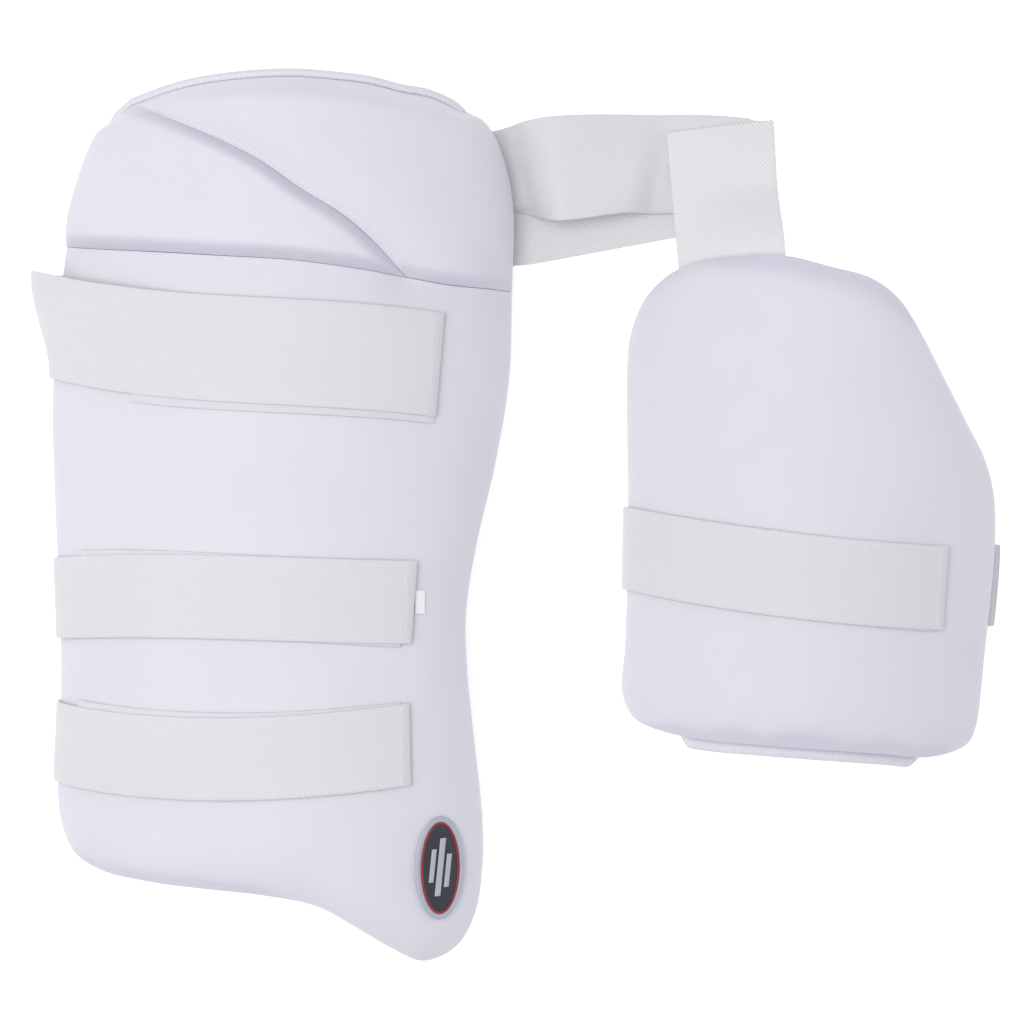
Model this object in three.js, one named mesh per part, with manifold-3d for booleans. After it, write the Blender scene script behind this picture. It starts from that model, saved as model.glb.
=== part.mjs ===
// Cricket thigh guard: an outer and an inner guard on one elastic waist belt.
// Millimetres, +Z up. The guards lie on the floor with their hollow side down, and each leg strap
// runs along the floor under its guard, round the left rim and over the front.

import * as THREE from 'three';
import * as BufferGeometryUtils from 'three/addons/utils/BufferGeometryUtils.js';
import Module from 'manifold-3d';

const wasm = await Module();
wasm.setup();

// Driving dimensions of the two guards
const OUTER = {
  width: 224,         // left rim to right rim
  height: 414,        // top of the hip blocks to the tip of the lower lobe
  sagitta: 46,        // how far the middle of the hollow stands above the rims
  padThickness: 20,   // foam of the long block
  hipThickness: 24,   // foam of the two hip blocks
  edgeRoll: 22,       // how far in the padding starts to roll over to its rim
  topFlange: 4.5,     // sewn edge of the back panel that shows above the hip blocks
  centreX: -110.3,
  centreY: -4.2,
  turn: 0,
};
const INNER = {
  width: 183,
  height: 233,
  sagitta: 37,
  padThickness: 18,
  edgeRoll: 20,
  bottomHem: 5.6,     // sewn edge of the back panel that shows below the block
  centreX: 143.3,
  belowTop: 200.1,    // its centre lies this far below the top of the outer guard
  turn: -3,           // degrees
};
// The belt, its tab and the inner guard hang from the top of the outer guard
const TOP_Y = OUTER.centreY + OUTER.height / 2;
INNER.centreY = TOP_Y - INNER.belowTop;

// Cloth and elastic
const PANEL_THICKNESS = 2.5;
const ELASTIC_THICKNESS = 1.5;
const PATCH_THICKNESS = 1.2;
const WEBBING_THICKNESS = 1.6;
const WIDE_ELASTIC = 50;
const NARROW_ELASTIC = 38;

// Clearances between touching pieces
const GAP = 0.3;
const SEAM_GAP = 0.6;
const SURFACE_GAP = 0.6;
const STRAP_GAP = 0.5;

// Rounded rims of the padding
const RIM_HEIGHT_SHARE = 0.32;   // the widest line of the rim, as a share of the foam's thickness
const RIM_UNDERCUT = 4;          // how far the back edge of the foam lies inside that line
const SEAM_DROP = 0.42;          // how deep a sewn crease goes, as a share of the foam's thickness
const PANEL_INSET = 3;           // the back panel ends this far inside the padding's widest line

// The rims stand clear of the floor by two layers of elastic
const RIM_REST = 2 * ELASTIC_THICKNESS + 3 * GAP;

// Outlines as shares of a guard's width (x) and height (y), from its centre. Each row is one point.
const OUTER_THIGH_SIDE = [
  // x, y
  [0.493, 0.265],
  [0.487, 0.166],
  [0.458, 0.068],
  [0.417, -0.029],
  [0.396, -0.105],
  [0.398, -0.170],
  [0.411, -0.242],
  [0.430, -0.345],
  [0.429, -0.403],
  [0.414, -0.451],
  [0.376, -0.486],
  [0.307, -0.500],
  [0.238, -0.482],
  [0.164, -0.456],
  [0.090, -0.433],
  [-0.020, -0.420],
  [-0.262, -0.409],
  [-0.374, -0.400],
  [-0.440, -0.382],
  [-0.474, -0.344],
  [-0.480, -0.285],
  [-0.474, -0.226],
  [-0.473, -0.150],
  [-0.487, 0.019],
  [-0.494, 0.129],
  [-0.485, 0.205],
  [-0.459, 0.316],
];
const OUTER_HIP_LEFT = [
  // x, y
  [-0.459, 0.316],
  [-0.458, 0.346],
  [-0.420, 0.409],
  [-0.384, 0.446],
  [-0.346, 0.471],
  [-0.312, 0.484],
];
const OUTER_DOME = [
  // x, y
  [-0.312, 0.484],
  [-0.217, 0.498],
  [-0.141, 0.505],
  [0.020, 0.511],
  [0.110, 0.509],
  [0.196, 0.505],
  [0.260, 0.498],
  [0.320, 0.494],
  [0.380, 0.481],
  [0.446, 0.452],
  [0.480, 0.410],
  [0.496, 0.360],
  [0.493, 0.265],
];
const HIP_SEAM = [
  // x, y
  [-0.459, 0.316],
  [-0.406, 0.311],
  [-0.125, 0.297],
  [0.041, 0.291],
  [0.181, 0.282],
  [0.271, 0.275],
  [0.357, 0.268],
  [0.493, 0.265],
];
const DIAGONAL_BELOW_EDGE = [
  // x, y
  [-0.312, 0.473],
  [-0.265, 0.462],
  [-0.117, 0.427],
  [-0.031, 0.403],
  [0.055, 0.371],
  [0.145, 0.341],
  [0.208, 0.312],
  [0.271, 0.275],
];
const SEAM_MEETING_ROW = 5;       // row of HIP_SEAM where the diagonal crease ends
const INNER_OUTLINE = [
  // x, y
  [-0.373, 0.474],
  [-0.226, 0.496],
  [-0.110, 0.499],
  [-0.004, 0.483],
  [0.110, 0.463],
  [0.180, 0.428],
  [0.219, 0.392],
  [0.326, 0.262],
  [0.393, 0.180],
  [0.444, 0.119],
  [0.477, 0.050],
  [0.489, -0.030],
  [0.488, -0.120],
  [0.475, -0.300],
  [0.470, -0.375],
  [0.462, -0.432],
  [0.444, -0.466],
  [0.398, -0.486],
  [0.318, -0.498],
  [0.208, -0.493],
  [0.070, -0.489],
  [-0.106, -0.486],
  [-0.263, -0.484],
  [-0.365, -0.474],
  [-0.433, -0.455],
  [-0.468, -0.408],
  [-0.468, -0.296],
  [-0.480, -0.006],
  [-0.492, 0.139],
  [-0.500, 0.263],
  [-0.494, 0.340],
  [-0.456, 0.418],
];
const INNER_HEM_FROM = -0.335;    // the hem runs between these shares of the width
const INNER_HEM_TO = 0.335;

// Leg straps, in shares of the guard's width and height. left, middle and end are the heights of the
// strap's centre line at the left rim, the guard's middle and the strap's free end at endX.
const STRAPS = {
  strap_top: {
    guard: 'outer', width: WIDE_ELASTIC, left: 0.2185, middle: 0.189, end: 0.176, endX: 0.347,
    patchFrom: -0.300, patchTo: 0.330, patchShift: -0.010, proud: 13.5, backRise: 0.004,
  },
  strap_middle: {
    guard: 'outer', width: NARROW_ELASTIC, left: -0.0885, middle: -0.0855, end: -0.091, endX: 0.290,
    patchFrom: -0.390, patchTo: 0.270, patchShift: 0.005, proud: 0, backRise: 0,
  },
  strap_bottom: {
    guard: 'outer', width: NARROW_ELASTIC, left: -0.2545, middle: -0.2625, end: -0.250, endX: 0.282,
    patchFrom: -0.385, patchTo: 0.265, patchShift: 0.008, proud: 0, backRise: 0,
  },
  inner_strap: {
    guard: 'inner', width: NARROW_ELASTIC, left: -0.109, middle: -0.1435, end: -0.1515, endX: 0.336,
    patchFrom: -0.150, patchTo: 0.315, patchShift: 0.005, proud: 0, backRise: -0.037,
  },
};
const STRAP_LEFT_X = -0.46;       // where a strap's left height is read
const RIM_CLEARANCE = 0.6;        // strap to the padding's rim
const PROUD_ON_FRONT = 0.45;      // share of a strap's stand-off that is left where it meets the front
const PROUD_FADE = 50;            // that share fades out over this length
const FLOOR_BEND = 3;             // radius of the bend between rim and floor
const SEWN_LENGTH = 25;           // sewn end of a strap under the back panel
const STRAP_LOOP_OUT = { outer: -6, inner: 4 };  // how far a strap's turn stands past the right rim

// Label at the end of the middle strap
const LABEL = { width: 4.6, height: 11, thickness: 0.8 };

// Badge: an upright oval of rubber on the lower lobe
const BADGE = {
  x: 0.343, y: -0.391, width: 23, height: 48,
  rimWidth: 2.6, rimBevel: 0.8, fieldThickness: 1.4, rimThickness: 2.4,
};

// Waist belt: x, drop of the centre line below the outer guard's top, and height over the floor.
// Where no height is given, the belt is sewn under the back panel.
const BELT_FACE_Z = 13;
const BELT_UPPER = [
  // x, drop, z
  [-46, 42.8, null],
  [-30, 42.8, null],
  [-17, 43.8, 12.3],
  [-5, 43.3, 6],
  [4, 41.3, 7.5],
  [12, 39.4, 15.5],
  [21, 38.4, 21],
  [34, 37.5, 20],
  [50, 36.9, 16],
  [68, 36.8, 13.2],
  [90, 36.6, BELT_FACE_Z],
  [112, 38.2, BELT_FACE_Z],
];
const BELT_TURN = { x: 119, drop: 39.3, radius: 5 };
const BELT_LOWER = [
  // x, drop
  [108, 38.4],
  [78, 44.1],
  [40, 51.2],
  [6, 57.6],
];
const BELT_LOWER_RISE = { fromX: -6, toX: -50, endX: -100, drop: 58.8, endDrop: 59.8 };
const BELT_LEAN = 0.9;            // how far the belt's ends lean with its slope

// Webbing tab, at its left and right edge. A fold is given as x and drop below the outer guard's top,
// an entry as the share of the inner guard's width and height where the tab goes under its panel.
const TAB = {
  foldLeft: [74.2, 21.2],
  foldRight: [125.6, 15.2],
  entryLeft: [-0.358, 0.474],
  entryRight: [-0.095, 0.499],
  hem: 14,
  tuck: 26,
  foldLift: 2.3,      // between the middles of the hem and the face
  riseFrom: 0.28,
  riseTo: 0.68,
};
const TAB_FOLD = [
  // step back from the fold, share of the lift
  [2, 0],
  [0.4, 0.2],
  [0, 0.5],
  [0.4, 0.8],
  [2, 1],
];

// Colours
const COVER = { color: 0xe4e4ee, roughness: 0.75, metalness: 0 };
const LINING = { color: 0xdedee6, roughness: 0.85, metalness: 0 };
const ELASTIC = { color: 0xececec, roughness: 0.8, metalness: 0 };
const WEBBING = { color: 0xf2f2f0, roughness: 0.7, metalness: 0 };
const PATCH = { color: 0xe8e8ee, roughness: 0.9, metalness: 0 };
const BADGE_RIM = { color: 0x8f96a6, roughness: 0.5, metalness: 0 };
const BADGE_FIELD = { color: 0x33343a, roughness: 0.5, metalness: 0 };
const LABEL_CLOTH = { color: 0xf6f6f6, roughness: 0.6, metalness: 0 };

const guards = { outer: OUTER, inner: INNER };

// Small helpers

function mix(a, b, t) {
  return a + (b - a) * t;
}

function smooth(t) {
  const u = Math.min(1, Math.max(0, t));
  return u * u * (3 - 2 * u);
}

// Height of the underside of a guard's back panel: a parabola over the width
function undersideAt(guard, x) {
  const u = x / (guard.width / 2);
  return RIM_REST + guard.sagitta * Math.max(0, 1 - u * u);
}

function backAt(guard, x) {
  return undersideAt(guard, x) + PANEL_THICKNESS + GAP;
}

// Turn rows of shares into points, and lay a smooth curve through them
function sampleOpen(rows, guard, count) {
  const points = rows.map(([x, y]) => new THREE.Vector3(x * guard.width, y * guard.height, 0));
  const curve = new THREE.CatmullRomCurve3(points, false, 'centripetal');
  return curve.getSpacedPoints(count).map((p) => new THREE.Vector2(p.x, p.y));
}

function sampleClosed(rows, guard, count) {
  const points = rows.map(([x, y]) => new THREE.Vector3(x * guard.width, y * guard.height, 0));
  const curve = new THREE.CatmullRomCurve3(points, true, 'centripetal');
  return curve.getSpacedPoints(count).slice(0, count).map((p) => new THREE.Vector2(p.x, p.y));
}

// Shift a closed loop inwards along its own normals; shift(i) gives each point's distance
function insetLoop(loop, shift) {
  const count = loop.length;
  let area = 0;
  loop.forEach((p, i) => {
    const q = loop[(i + 1) % count];
    area += p.x * q.y - q.x * p.y;
  });
  const side = Math.sign(area);
  return loop.map((p, i) => {
    const before = loop[(i + count - 1) % count];
    const after = loop[(i + 1) % count];
    const first = p.clone().sub(before).normalize();
    const second = after.clone().sub(p).normalize();
    const along = first.add(second).normalize();
    const inward = new THREE.Vector2(-along.y * side, along.x * side);
    return p.clone().addScaledVector(inward, shift(i));
  });
}

// Distance from a point to a closed loop, with the drop of the nearest stretch
function nearestEdge(pad, x, y) {
  let best = Infinity;
  let drop = 1;
  let inside = false;
  const loop = pad.loop;
  for (let i = 0; i < loop.length; i += 1) {
    const next = (i + 1) % loop.length;
    const a = loop[i];
    const b = loop[next];
    const dx = b.x - a.x;
    const dy = b.y - a.y;
    const t = Math.min(1, Math.max(0, ((x - a.x) * dx + (y - a.y) * dy) / (dx * dx + dy * dy)));
    const distance = Math.hypot(x - a.x - t * dx, y - a.y - t * dy);
    if (distance < best) {
      best = distance;
      drop = mix(pad.drop[i], pad.drop[next], t);
    }
    if ((a.y > y) !== (b.y > y) && x < a.x + ((y - a.y) / (b.y - a.y)) * dx) {
      inside = !inside;
    }
  }
  return { distance: best, drop, inside };
}

// Height share of the rounded rim at a distance from the widest line
function rollShare(roll, distance) {
  const u = 1 - Math.min(1, distance / roll);
  return Math.sqrt(1 - u * u);
}

// Top of a pad over its back surface
function padHeight(pad, distance, drop) {
  const rim = pad.thickness * RIM_HEIGHT_SHARE;
  const rise = pad.thickness - rim;
  return rim + rise * (1 - drop * (1 - rollShare(pad.roll, distance)));
}

function padTop(pad, x, y) {
  const edge = nearestEdge(pad, x, y);
  return backAt(pad.guard, x) + padHeight(pad, edge.distance, edge.drop);
}

function covers(pad, x, y) {
  return nearestEdge(pad, x, y).inside;
}

// Leftmost or rightmost x of a loop at one height
function loopSpan(loop, y) {
  let low = Infinity;
  let high = -Infinity;
  loop.forEach((a, i) => {
    const b = loop[(i + 1) % loop.length];
    if ((a.y > y) !== (b.y > y)) {
      const x = a.x + ((y - a.y) / (b.y - a.y)) * (b.x - a.x);
      low = Math.min(low, x);
      high = Math.max(high, x);
    }
  });
  return [low, high];
}

// Geometry from rings of equal length, each a closed loop, with one point at each end
function ringsGeometry(firstPoint, rings, lastPoint) {
  const count = rings[0].length;
  const positions = [];
  rings.forEach((ring) => ring.forEach((p) => positions.push(p.x, p.y, p.z)));
  const first = positions.length / 3;
  positions.push(firstPoint.x, firstPoint.y, firstPoint.z);
  const last = first + 1;
  positions.push(lastPoint.x, lastPoint.y, lastPoint.z);
  const index = [];
  for (let i = 0; i < count; i += 1) {
    const j = (i + 1) % count;
    index.push(first, i, j);
    for (let k = 0; k + 1 < rings.length; k += 1) {
      const a = k * count;
      const b = a + count;
      index.push(a + i, b + i, b + j);
      index.push(a + i, b + j, a + j);
    }
    const end = (rings.length - 1) * count;
    index.push(last, end + j, end + i);
  }
  return closedGeometry(positions, index);
}

// A closed geometry whose faces point out, whichever way its outline runs
function closedGeometry(positions, index) {
  let volume = 0;
  const corner = (n) => new THREE.Vector3(positions[3 * n], positions[3 * n + 1], positions[3 * n + 2]);
  for (let t = 0; t < index.length; t += 3) {
    volume += corner(index[t]).dot(corner(index[t + 1]).cross(corner(index[t + 2])));
  }
  if (volume < 0) {
    for (let t = 0; t < index.length; t += 3) {
      [index[t + 1], index[t + 2]] = [index[t + 2], index[t + 1]];
    }
  }
  const geometry = new THREE.BufferGeometry();
  geometry.setAttribute('position', new THREE.Float32BufferAttribute(positions, 3));
  geometry.setIndex(index);
  geometry.computeVertexNormals();
  return geometry;
}

// A sheet with thickness: rows of middle-surface points, offset to both sides along the normals
function sheetGeometry(rows, thickness) {
  const along = rows.length;
  const across = rows[0].length;
  const at = (i, j) => rows[Math.min(along - 1, Math.max(0, i))][Math.min(across - 1, Math.max(0, j))];
  const positions = [];
  [1, -1].forEach((side) => {
    for (let i = 0; i < along; i += 1) {
      for (let j = 0; j < across; j += 1) {
        const u = at(i + 1, j).clone().sub(at(i - 1, j));
        const v = at(i, j + 1).clone().sub(at(i, j - 1));
        const normal = u.cross(v).normalize();
        const p = at(i, j).clone().addScaledVector(normal, (side * thickness) / 2);
        positions.push(p.x, p.y, p.z);
      }
    }
  });
  const half = along * across;
  const id = (i, j) => i * across + j;
  const index = [];
  const quad = (a, b, c, d) => index.push(a, b, c, a, c, d);
  for (let i = 0; i + 1 < along; i += 1) {
    for (let j = 0; j + 1 < across; j += 1) {
      quad(id(i, j), id(i + 1, j), id(i + 1, j + 1), id(i, j + 1));
      quad(half + id(i, j), half + id(i, j + 1), half + id(i + 1, j + 1), half + id(i + 1, j));
    }
    quad(id(i, 0), half + id(i, 0), half + id(i + 1, 0), id(i + 1, 0));
    quad(id(i, across - 1), id(i + 1, across - 1), half + id(i + 1, across - 1), half + id(i, across - 1));
  }
  for (let j = 0; j + 1 < across; j += 1) {
    quad(id(0, j), id(0, j + 1), half + id(0, j + 1), half + id(0, j));
    const end = along - 1;
    quad(id(end, j), half + id(end, j), half + id(end, j + 1), id(end, j + 1));
  }
  return closedGeometry(positions, index);
}

// Cuts

function toSolid(geometry) {
  const bare = geometry.clone();
  bare.deleteAttribute('normal');
  bare.deleteAttribute('uv');
  const merged = BufferGeometryUtils.mergeVertices(bare, 1e-4);
  return new wasm.Manifold(new wasm.Mesh({
    numProp: 3,
    vertProperties: new Float32Array(merged.attributes.position.array),
    triVerts: new Uint32Array(merged.index.array),
  }));
}

function fromSolid(solid) {
  const mesh = solid.getMesh();
  const geometry = new THREE.BufferGeometry();
  geometry.setAttribute('position', new THREE.BufferAttribute(mesh.vertProperties, 3));
  geometry.setIndex(Array.from(mesh.triVerts));
  geometry.computeVertexNormals();
  return geometry;
}

// A bar along Y under the arch of a guard: from bottomZ, or from a lower arch, up to the upper arch
const ARCH_FACETS = 26;
const ARCH_REACH = 12;      // how far the bar goes past each rim
const BELOW_FLOOR = -20;

function archSolid(guard, lowerOffset, upperOffset) {
  const reach = guard.width / 2 + ARCH_REACH;
  const xs = [];
  for (let i = 0; i <= ARCH_FACETS; i += 1) {
    xs.push(mix(-reach, reach, i / ARCH_FACETS));
  }
  const upper = xs.map((x) => new THREE.Vector2(x, undersideAt(guard, x) + upperOffset));
  const lower = xs.map((x) => {
    return new THREE.Vector2(x, lowerOffset === null ? BELOW_FLOOR : undersideAt(guard, x) + lowerOffset);
  });
  const shape = new THREE.Shape([...lower, ...upper.reverse()]);
  const depth = guard.height * 1.3;
  const geometry = new THREE.ExtrudeGeometry(shape, { depth, bevelEnabled: false });
  geometry.rotateX(Math.PI / 2);
  geometry.translate(0, depth / 2, 0);
  return toSolid(geometry);
}

// An upright prism over a loop
function prismSolid(loop) {
  const height = 200;
  const geometry = new THREE.ExtrudeGeometry(new THREE.Shape(loop), { depth: height, bevelEnabled: false });
  geometry.translate(0, 0, -height / 4);
  return toSolid(geometry);
}

// Pads

// A pad's outline, with a drop of 1 where the edge is free and SEAM_DROP where it is sewn down
function makePad(guard, thickness, stretches) {
  const loop = [];
  const sewn = [];
  stretches.forEach(({ points, seam }) => {
    points.slice(0, -1).forEach((p, i) => {
      loop.push(p.clone());
      sewn.push(seam && i > 0 ? 1 : 0);
    });
  });
  const count = loop.length;
  const near = (i) => (sewn[(i + count - 1) % count] + 2 * sewn[i] + sewn[(i + 1) % count]) / 4;
  const drop = loop.map((p, i) => mix(1, SEAM_DROP, near(i)));
  return { guard, thickness, roll: guard.edgeRoll, loop, drop };
}

function centreOf(loop) {
  const box = new THREE.Box2().setFromPoints(loop);
  return box.getCenter(new THREE.Vector2());
}

// Shift each point towards the centre until it lies the given distance inside the outline
function towardsCentre(loop, centre, distance, most) {
  const count = loop.length;
  return loop.map((p, i) => {
    const tangent = loop[(i + 1) % count].clone().sub(loop[(i + count - 1) % count]).normalize();
    const ray = centre.clone().sub(p);
    const length = ray.length();
    ray.normalize();
    const straight = Math.max(0.45, Math.abs(ray.x * tangent.y - ray.y * tangent.x));
    return p.clone().addScaledVector(ray, Math.min(distance / straight, length * most));
  });
}

const FRONT_RIM_ANGLES = [12, 28, 46, 66, 90];
const INNER_RING_SHARES = [0.36, 0.7];
const MOST_SHARE_OF_RAY = 0.5;
const CUT_ALLOWANCE = 1.5;
const TUCK_SHARE = 0.3;     // of the undercut and of the rim, for the ring between them

function padGeometry(pad, centre) {
  const { guard, thickness, roll, loop, drop } = pad;
  const rim = thickness * RIM_HEIGHT_SHARE;
  const base = towardsCentre(loop, centre, SEAM_GAP / 2, MOST_SHARE_OF_RAY);
  const lift = (p, z) => new THREE.Vector3(p.x, p.y, z);
  const rings = [];
  const under = towardsCentre(base, centre, RIM_UNDERCUT, MOST_SHARE_OF_RAY);
  const sunk = (p) => lift(p, backAt(guard, p.x) - CUT_ALLOWANCE);
  INNER_RING_SHARES.slice().reverse().forEach((share) => {
    rings.push(under.map((p) => sunk(p.clone().lerp(centre, share))));
  });
  rings.push(under.map(sunk));
  const tuck = towardsCentre(base, centre, RIM_UNDERCUT * TUCK_SHARE, MOST_SHARE_OF_RAY);
  rings.push(tuck.map((p) => lift(p, backAt(guard, p.x) + rim * TUCK_SHARE)));
  rings.push(base.map((p, i) => lift(p, backAt(guard, p.x) + padHeight(pad, 0, drop[i]))));
  let last = base;
  FRONT_RIM_ANGLES.forEach((degrees) => {
    const distance = roll * (1 - Math.cos((degrees * Math.PI) / 180));
    last = towardsCentre(base, centre, distance, MOST_SHARE_OF_RAY);
    rings.push(last.map((p) => lift(p, padTop(pad, p.x, p.y))));
  });
  INNER_RING_SHARES.forEach((share) => {
    rings.push(last.map((p) => p.clone().lerp(centre, share)).map((p) => lift(p, padTop(pad, p.x, p.y))));
  });
  const top = lift(centre, padTop(pad, centre.x, centre.y));
  const body = toSolid(ringsGeometry(sunk(centre), rings, top));
  return fromSolid(body.subtract(archSolid(guard, null, PANEL_THICKNESS + GAP)));
}

// Back panel: the arched sheet inside the given outline
function panelGeometry(guard, loop) {
  return fromSolid(archSolid(guard, 0, PANEL_THICKNESS).intersect(prismSolid(loop)));
}

// Straps

// Highest padding at a point, and the slope of its surface there
function frontAt(pads, x, y) {
  return Math.max(...pads.filter((pad) => covers(pad, x, y)).map((pad) => padTop(pad, x, y)));
}

// Height that keeps a clearance measured square to the padding, up to a steepest slope
const MOST_STEEP = 3;

function clearOfFront(pads, x, y, clearance) {
  const step = 0.5;
  const here = frontAt(pads, x, y);
  const slopeX = (frontAt(pads, x + step, y) - frontAt(pads, x - step, y)) / (2 * step);
  const slopeY = (frontAt(pads, x, y + step) - frontAt(pads, x, y - step)) / (2 * step);
  const steep = Number.isFinite(slopeX + slopeY) ? Math.hypot(slopeX, slopeY, 1) : MOST_STEEP;
  return here + clearance * Math.min(MOST_STEEP, steep);
}

const ROLL_ANGLES = [80, 68, 56, 44, 32, 20, 8];
const FRONT_STEPS = 15;
const FLOOR_STEPS = 4;
const TURN_STEPS = 4;
const PATCH_STEPS = 16;
const ACROSS = 3;
const SEWN_SHARES = [0, 0.1, 0.25, 0.5, 0.75, 1];
const RIM_FOOT = 0.6;       // a strap turns down at this share of the rim's height

// Height of a strap's centre line at a share of the guard's width: the parabola through its three heights
function strapCentreY(strap, share) {
  const x = Math.max(share, STRAP_LEFT_X);
  const toLeft = (strap.left - strap.middle) / STRAP_LEFT_X;
  const toEnd = (strap.end - strap.middle) / strap.endX;
  const bow = (toEnd - toLeft) / (strap.endX - STRAP_LEFT_X);
  const height = strap.middle + x * (toEnd + bow * (x - strap.endX));
  return height * guards[strap.guard].height;
}

// One strap: from its free end over the front, round the left rim, along the floor to the right rim,
// and back under the panel to its sewn end. Every column of the sheet is one line along the strap.
function strapRows(strap, pads, spanLoop) {
  const guard = guards[strap.guard];
  const half = ELASTIC_THICKNESS / 2;
  const overPatch = SURFACE_GAP + PATCH_THICKNESS + STRAP_GAP + half;
  const columns = [];
  for (let j = 0; j <= ACROSS; j += 1) {
    const share = j / ACROSS;
    const offset = mix(-strap.width / 2, strap.width / 2, share);
    const proud = strap.proud * smooth(share);
    const centreY = (x) => strapCentreY(strap, x / guard.width);
    const yLeft = strapCentreY(strap, STRAP_LEFT_X) + offset;
    const [rimX, rightX] = loopSpan(spanLoop, yLeft);
    const roll = guard.edgeRoll;
    const line = [];
    const startX = strap.endX * guard.width;
    const rollX = rimX + roll;
    for (let i = 0; i <= FRONT_STEPS; i += 1) {
      const x = mix(startX, rollX, i / FRONT_STEPS);
      const y = centreY(x) + offset;
      const out = proud * PROUD_ON_FRONT * smooth((rollX + PROUD_FADE - x) / PROUD_FADE);
      line.push(new THREE.Vector3(x, y, clearOfFront(pads, x, y, overPatch) + out));
    }
    const thickness = pads[0].thickness;
    const rim = thickness * RIM_HEIGHT_SHARE;
    const clearance = RIM_CLEARANCE + half;
    const rimBack = backAt(guard, rimX);
    const reach = clearance + proud;
    ROLL_ANGLES.forEach((degrees) => {
      const angle = (degrees * Math.PI) / 180;
      const x = rimX + roll * (1 - Math.cos(angle));
      const rise = (thickness - rim) * Math.sin(angle);
      const normalX = Math.cos(angle) / roll;
      const normalZ = Math.sin(angle) / (thickness - rim);
      const length = Math.hypot(normalX, normalZ);
      const cover = mix(reach, overPatch + proud * PROUD_ON_FRONT, smooth(Math.sin(angle)));
      const z = backAt(guard, x) + rim + rise;
      line.push(new THREE.Vector3(x - (normalX / length) * cover, yLeft, z + (normalZ / length) * cover));
    });
    const outX = rimX - reach;
    line.push(new THREE.Vector3(outX, yLeft, rimBack + rim * RIM_FOOT));
    for (let k = 0; k <= TURN_STEPS; k += 1) {
      const angle = (k / TURN_STEPS) * (Math.PI / 2);
      const x = outX + FLOOR_BEND * (1 - Math.cos(angle));
      line.push(new THREE.Vector3(x, yLeft, half + FLOOR_BEND * (1 - Math.sin(angle))));
    }
    const turnX = rightX + STRAP_LOOP_OUT[strap.guard];
    const yRight = yLeft + strap.backRise * guard.height;
    const radius = (RIM_REST - GAP - ELASTIC_THICKNESS) / 2;
    const bendEnd = turnX - radius - half;
    for (let k = 1; k <= FLOOR_STEPS; k += 1) {
      const t = k / FLOOR_STEPS;
      line.push(new THREE.Vector3(mix(outX + FLOOR_BEND, bendEnd, t), mix(yLeft, yRight, t), half));
    }
    for (let k = 1; k < TURN_STEPS; k += 1) {
      const angle = (k / TURN_STEPS) * Math.PI;
      const x = bendEnd + radius * Math.sin(angle);
      line.push(new THREE.Vector3(x, yRight, half + radius * (1 - Math.cos(angle))));
    }
    SEWN_SHARES.forEach((t) => {
      const x = bendEnd - t * SEWN_LENGTH;
      line.push(new THREE.Vector3(x, yRight, undersideAt(guard, Math.min(x, rightX)) - GAP - half));
    });
    columns.push(line);
  }
  return columns[0].map((p, i) => columns.map((line) => line[i]));
}

function patchRows(strap, pads) {
  const guard = guards[strap.guard];
  const rows = [];
  for (let i = 0; i <= PATCH_STEPS; i += 1) {
    const share = mix(strap.patchFrom, strap.patchTo, i / PATCH_STEPS);
    const x = share * guard.width;
    const row = [];
    for (let j = 0; j <= ACROSS; j += 1) {
      const offset = mix(-strap.width / 2, strap.width / 2, j / ACROSS);
      const y = strapCentreY(strap, share) + offset + strap.patchShift * guard.height;
      row.push(new THREE.Vector3(x, y, clearOfFront(pads, x, y, SURFACE_GAP + PATCH_THICKNESS / 2)));
    }
    rows.push(row);
  }
  return rows;
}

function labelRows(strap, pads) {
  const guard = guards[strap.guard];
  const startX = strap.endX * guard.width + GAP;
  return [0, 0.5, 1].map((t) => {
    const x = startX + t * LABEL.width;
    return [-0.5, 0.5].map((side) => {
      const y = strapCentreY(strap, strap.endX) + side * LABEL.height;
      return new THREE.Vector3(x, y, clearOfFront(pads, x, y, SURFACE_GAP + LABEL.thickness / 2));
    });
  });
}

// Badge: an oval field in a raised rim, both laid on the padding
function badgePoint(share, angle, inset) {
  const radiusX = (BADGE.width / 2 - inset) * share;
  const radiusY = (BADGE.height / 2 - inset) * share;
  return new THREE.Vector2(
    BADGE.x * OUTER.width + radiusX * Math.cos(angle),
    BADGE.y * OUTER.height + radiusY * Math.sin(angle),
  );
}

const BADGE_SIDES = 28;

function badgeRing(pads, share, inset, height) {
  const ring = [];
  for (let i = 0; i < BADGE_SIDES; i += 1) {
    const p = badgePoint(share, (i / BADGE_SIDES) * 2 * Math.PI, inset);
    ring.push(new THREE.Vector3(p.x, p.y, clearOfFront(pads, p.x, p.y, SURFACE_GAP + height)));
  }
  return ring;
}

function badgeFieldGeometry(pads) {
  const inset = BADGE.rimWidth + GAP;
  const [back] = badgeRing(pads, 0, inset, 0);
  const [face] = badgeRing(pads, 0, inset, BADGE.fieldThickness);
  const rings = [
    badgeRing(pads, 0.5, inset, 0),
    badgeRing(pads, 1, inset, 0),
    badgeRing(pads, 1, inset, BADGE.fieldThickness),
    badgeRing(pads, 0.5, inset, BADGE.fieldThickness),
  ];
  return ringsGeometry(back, rings, face);
}

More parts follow.
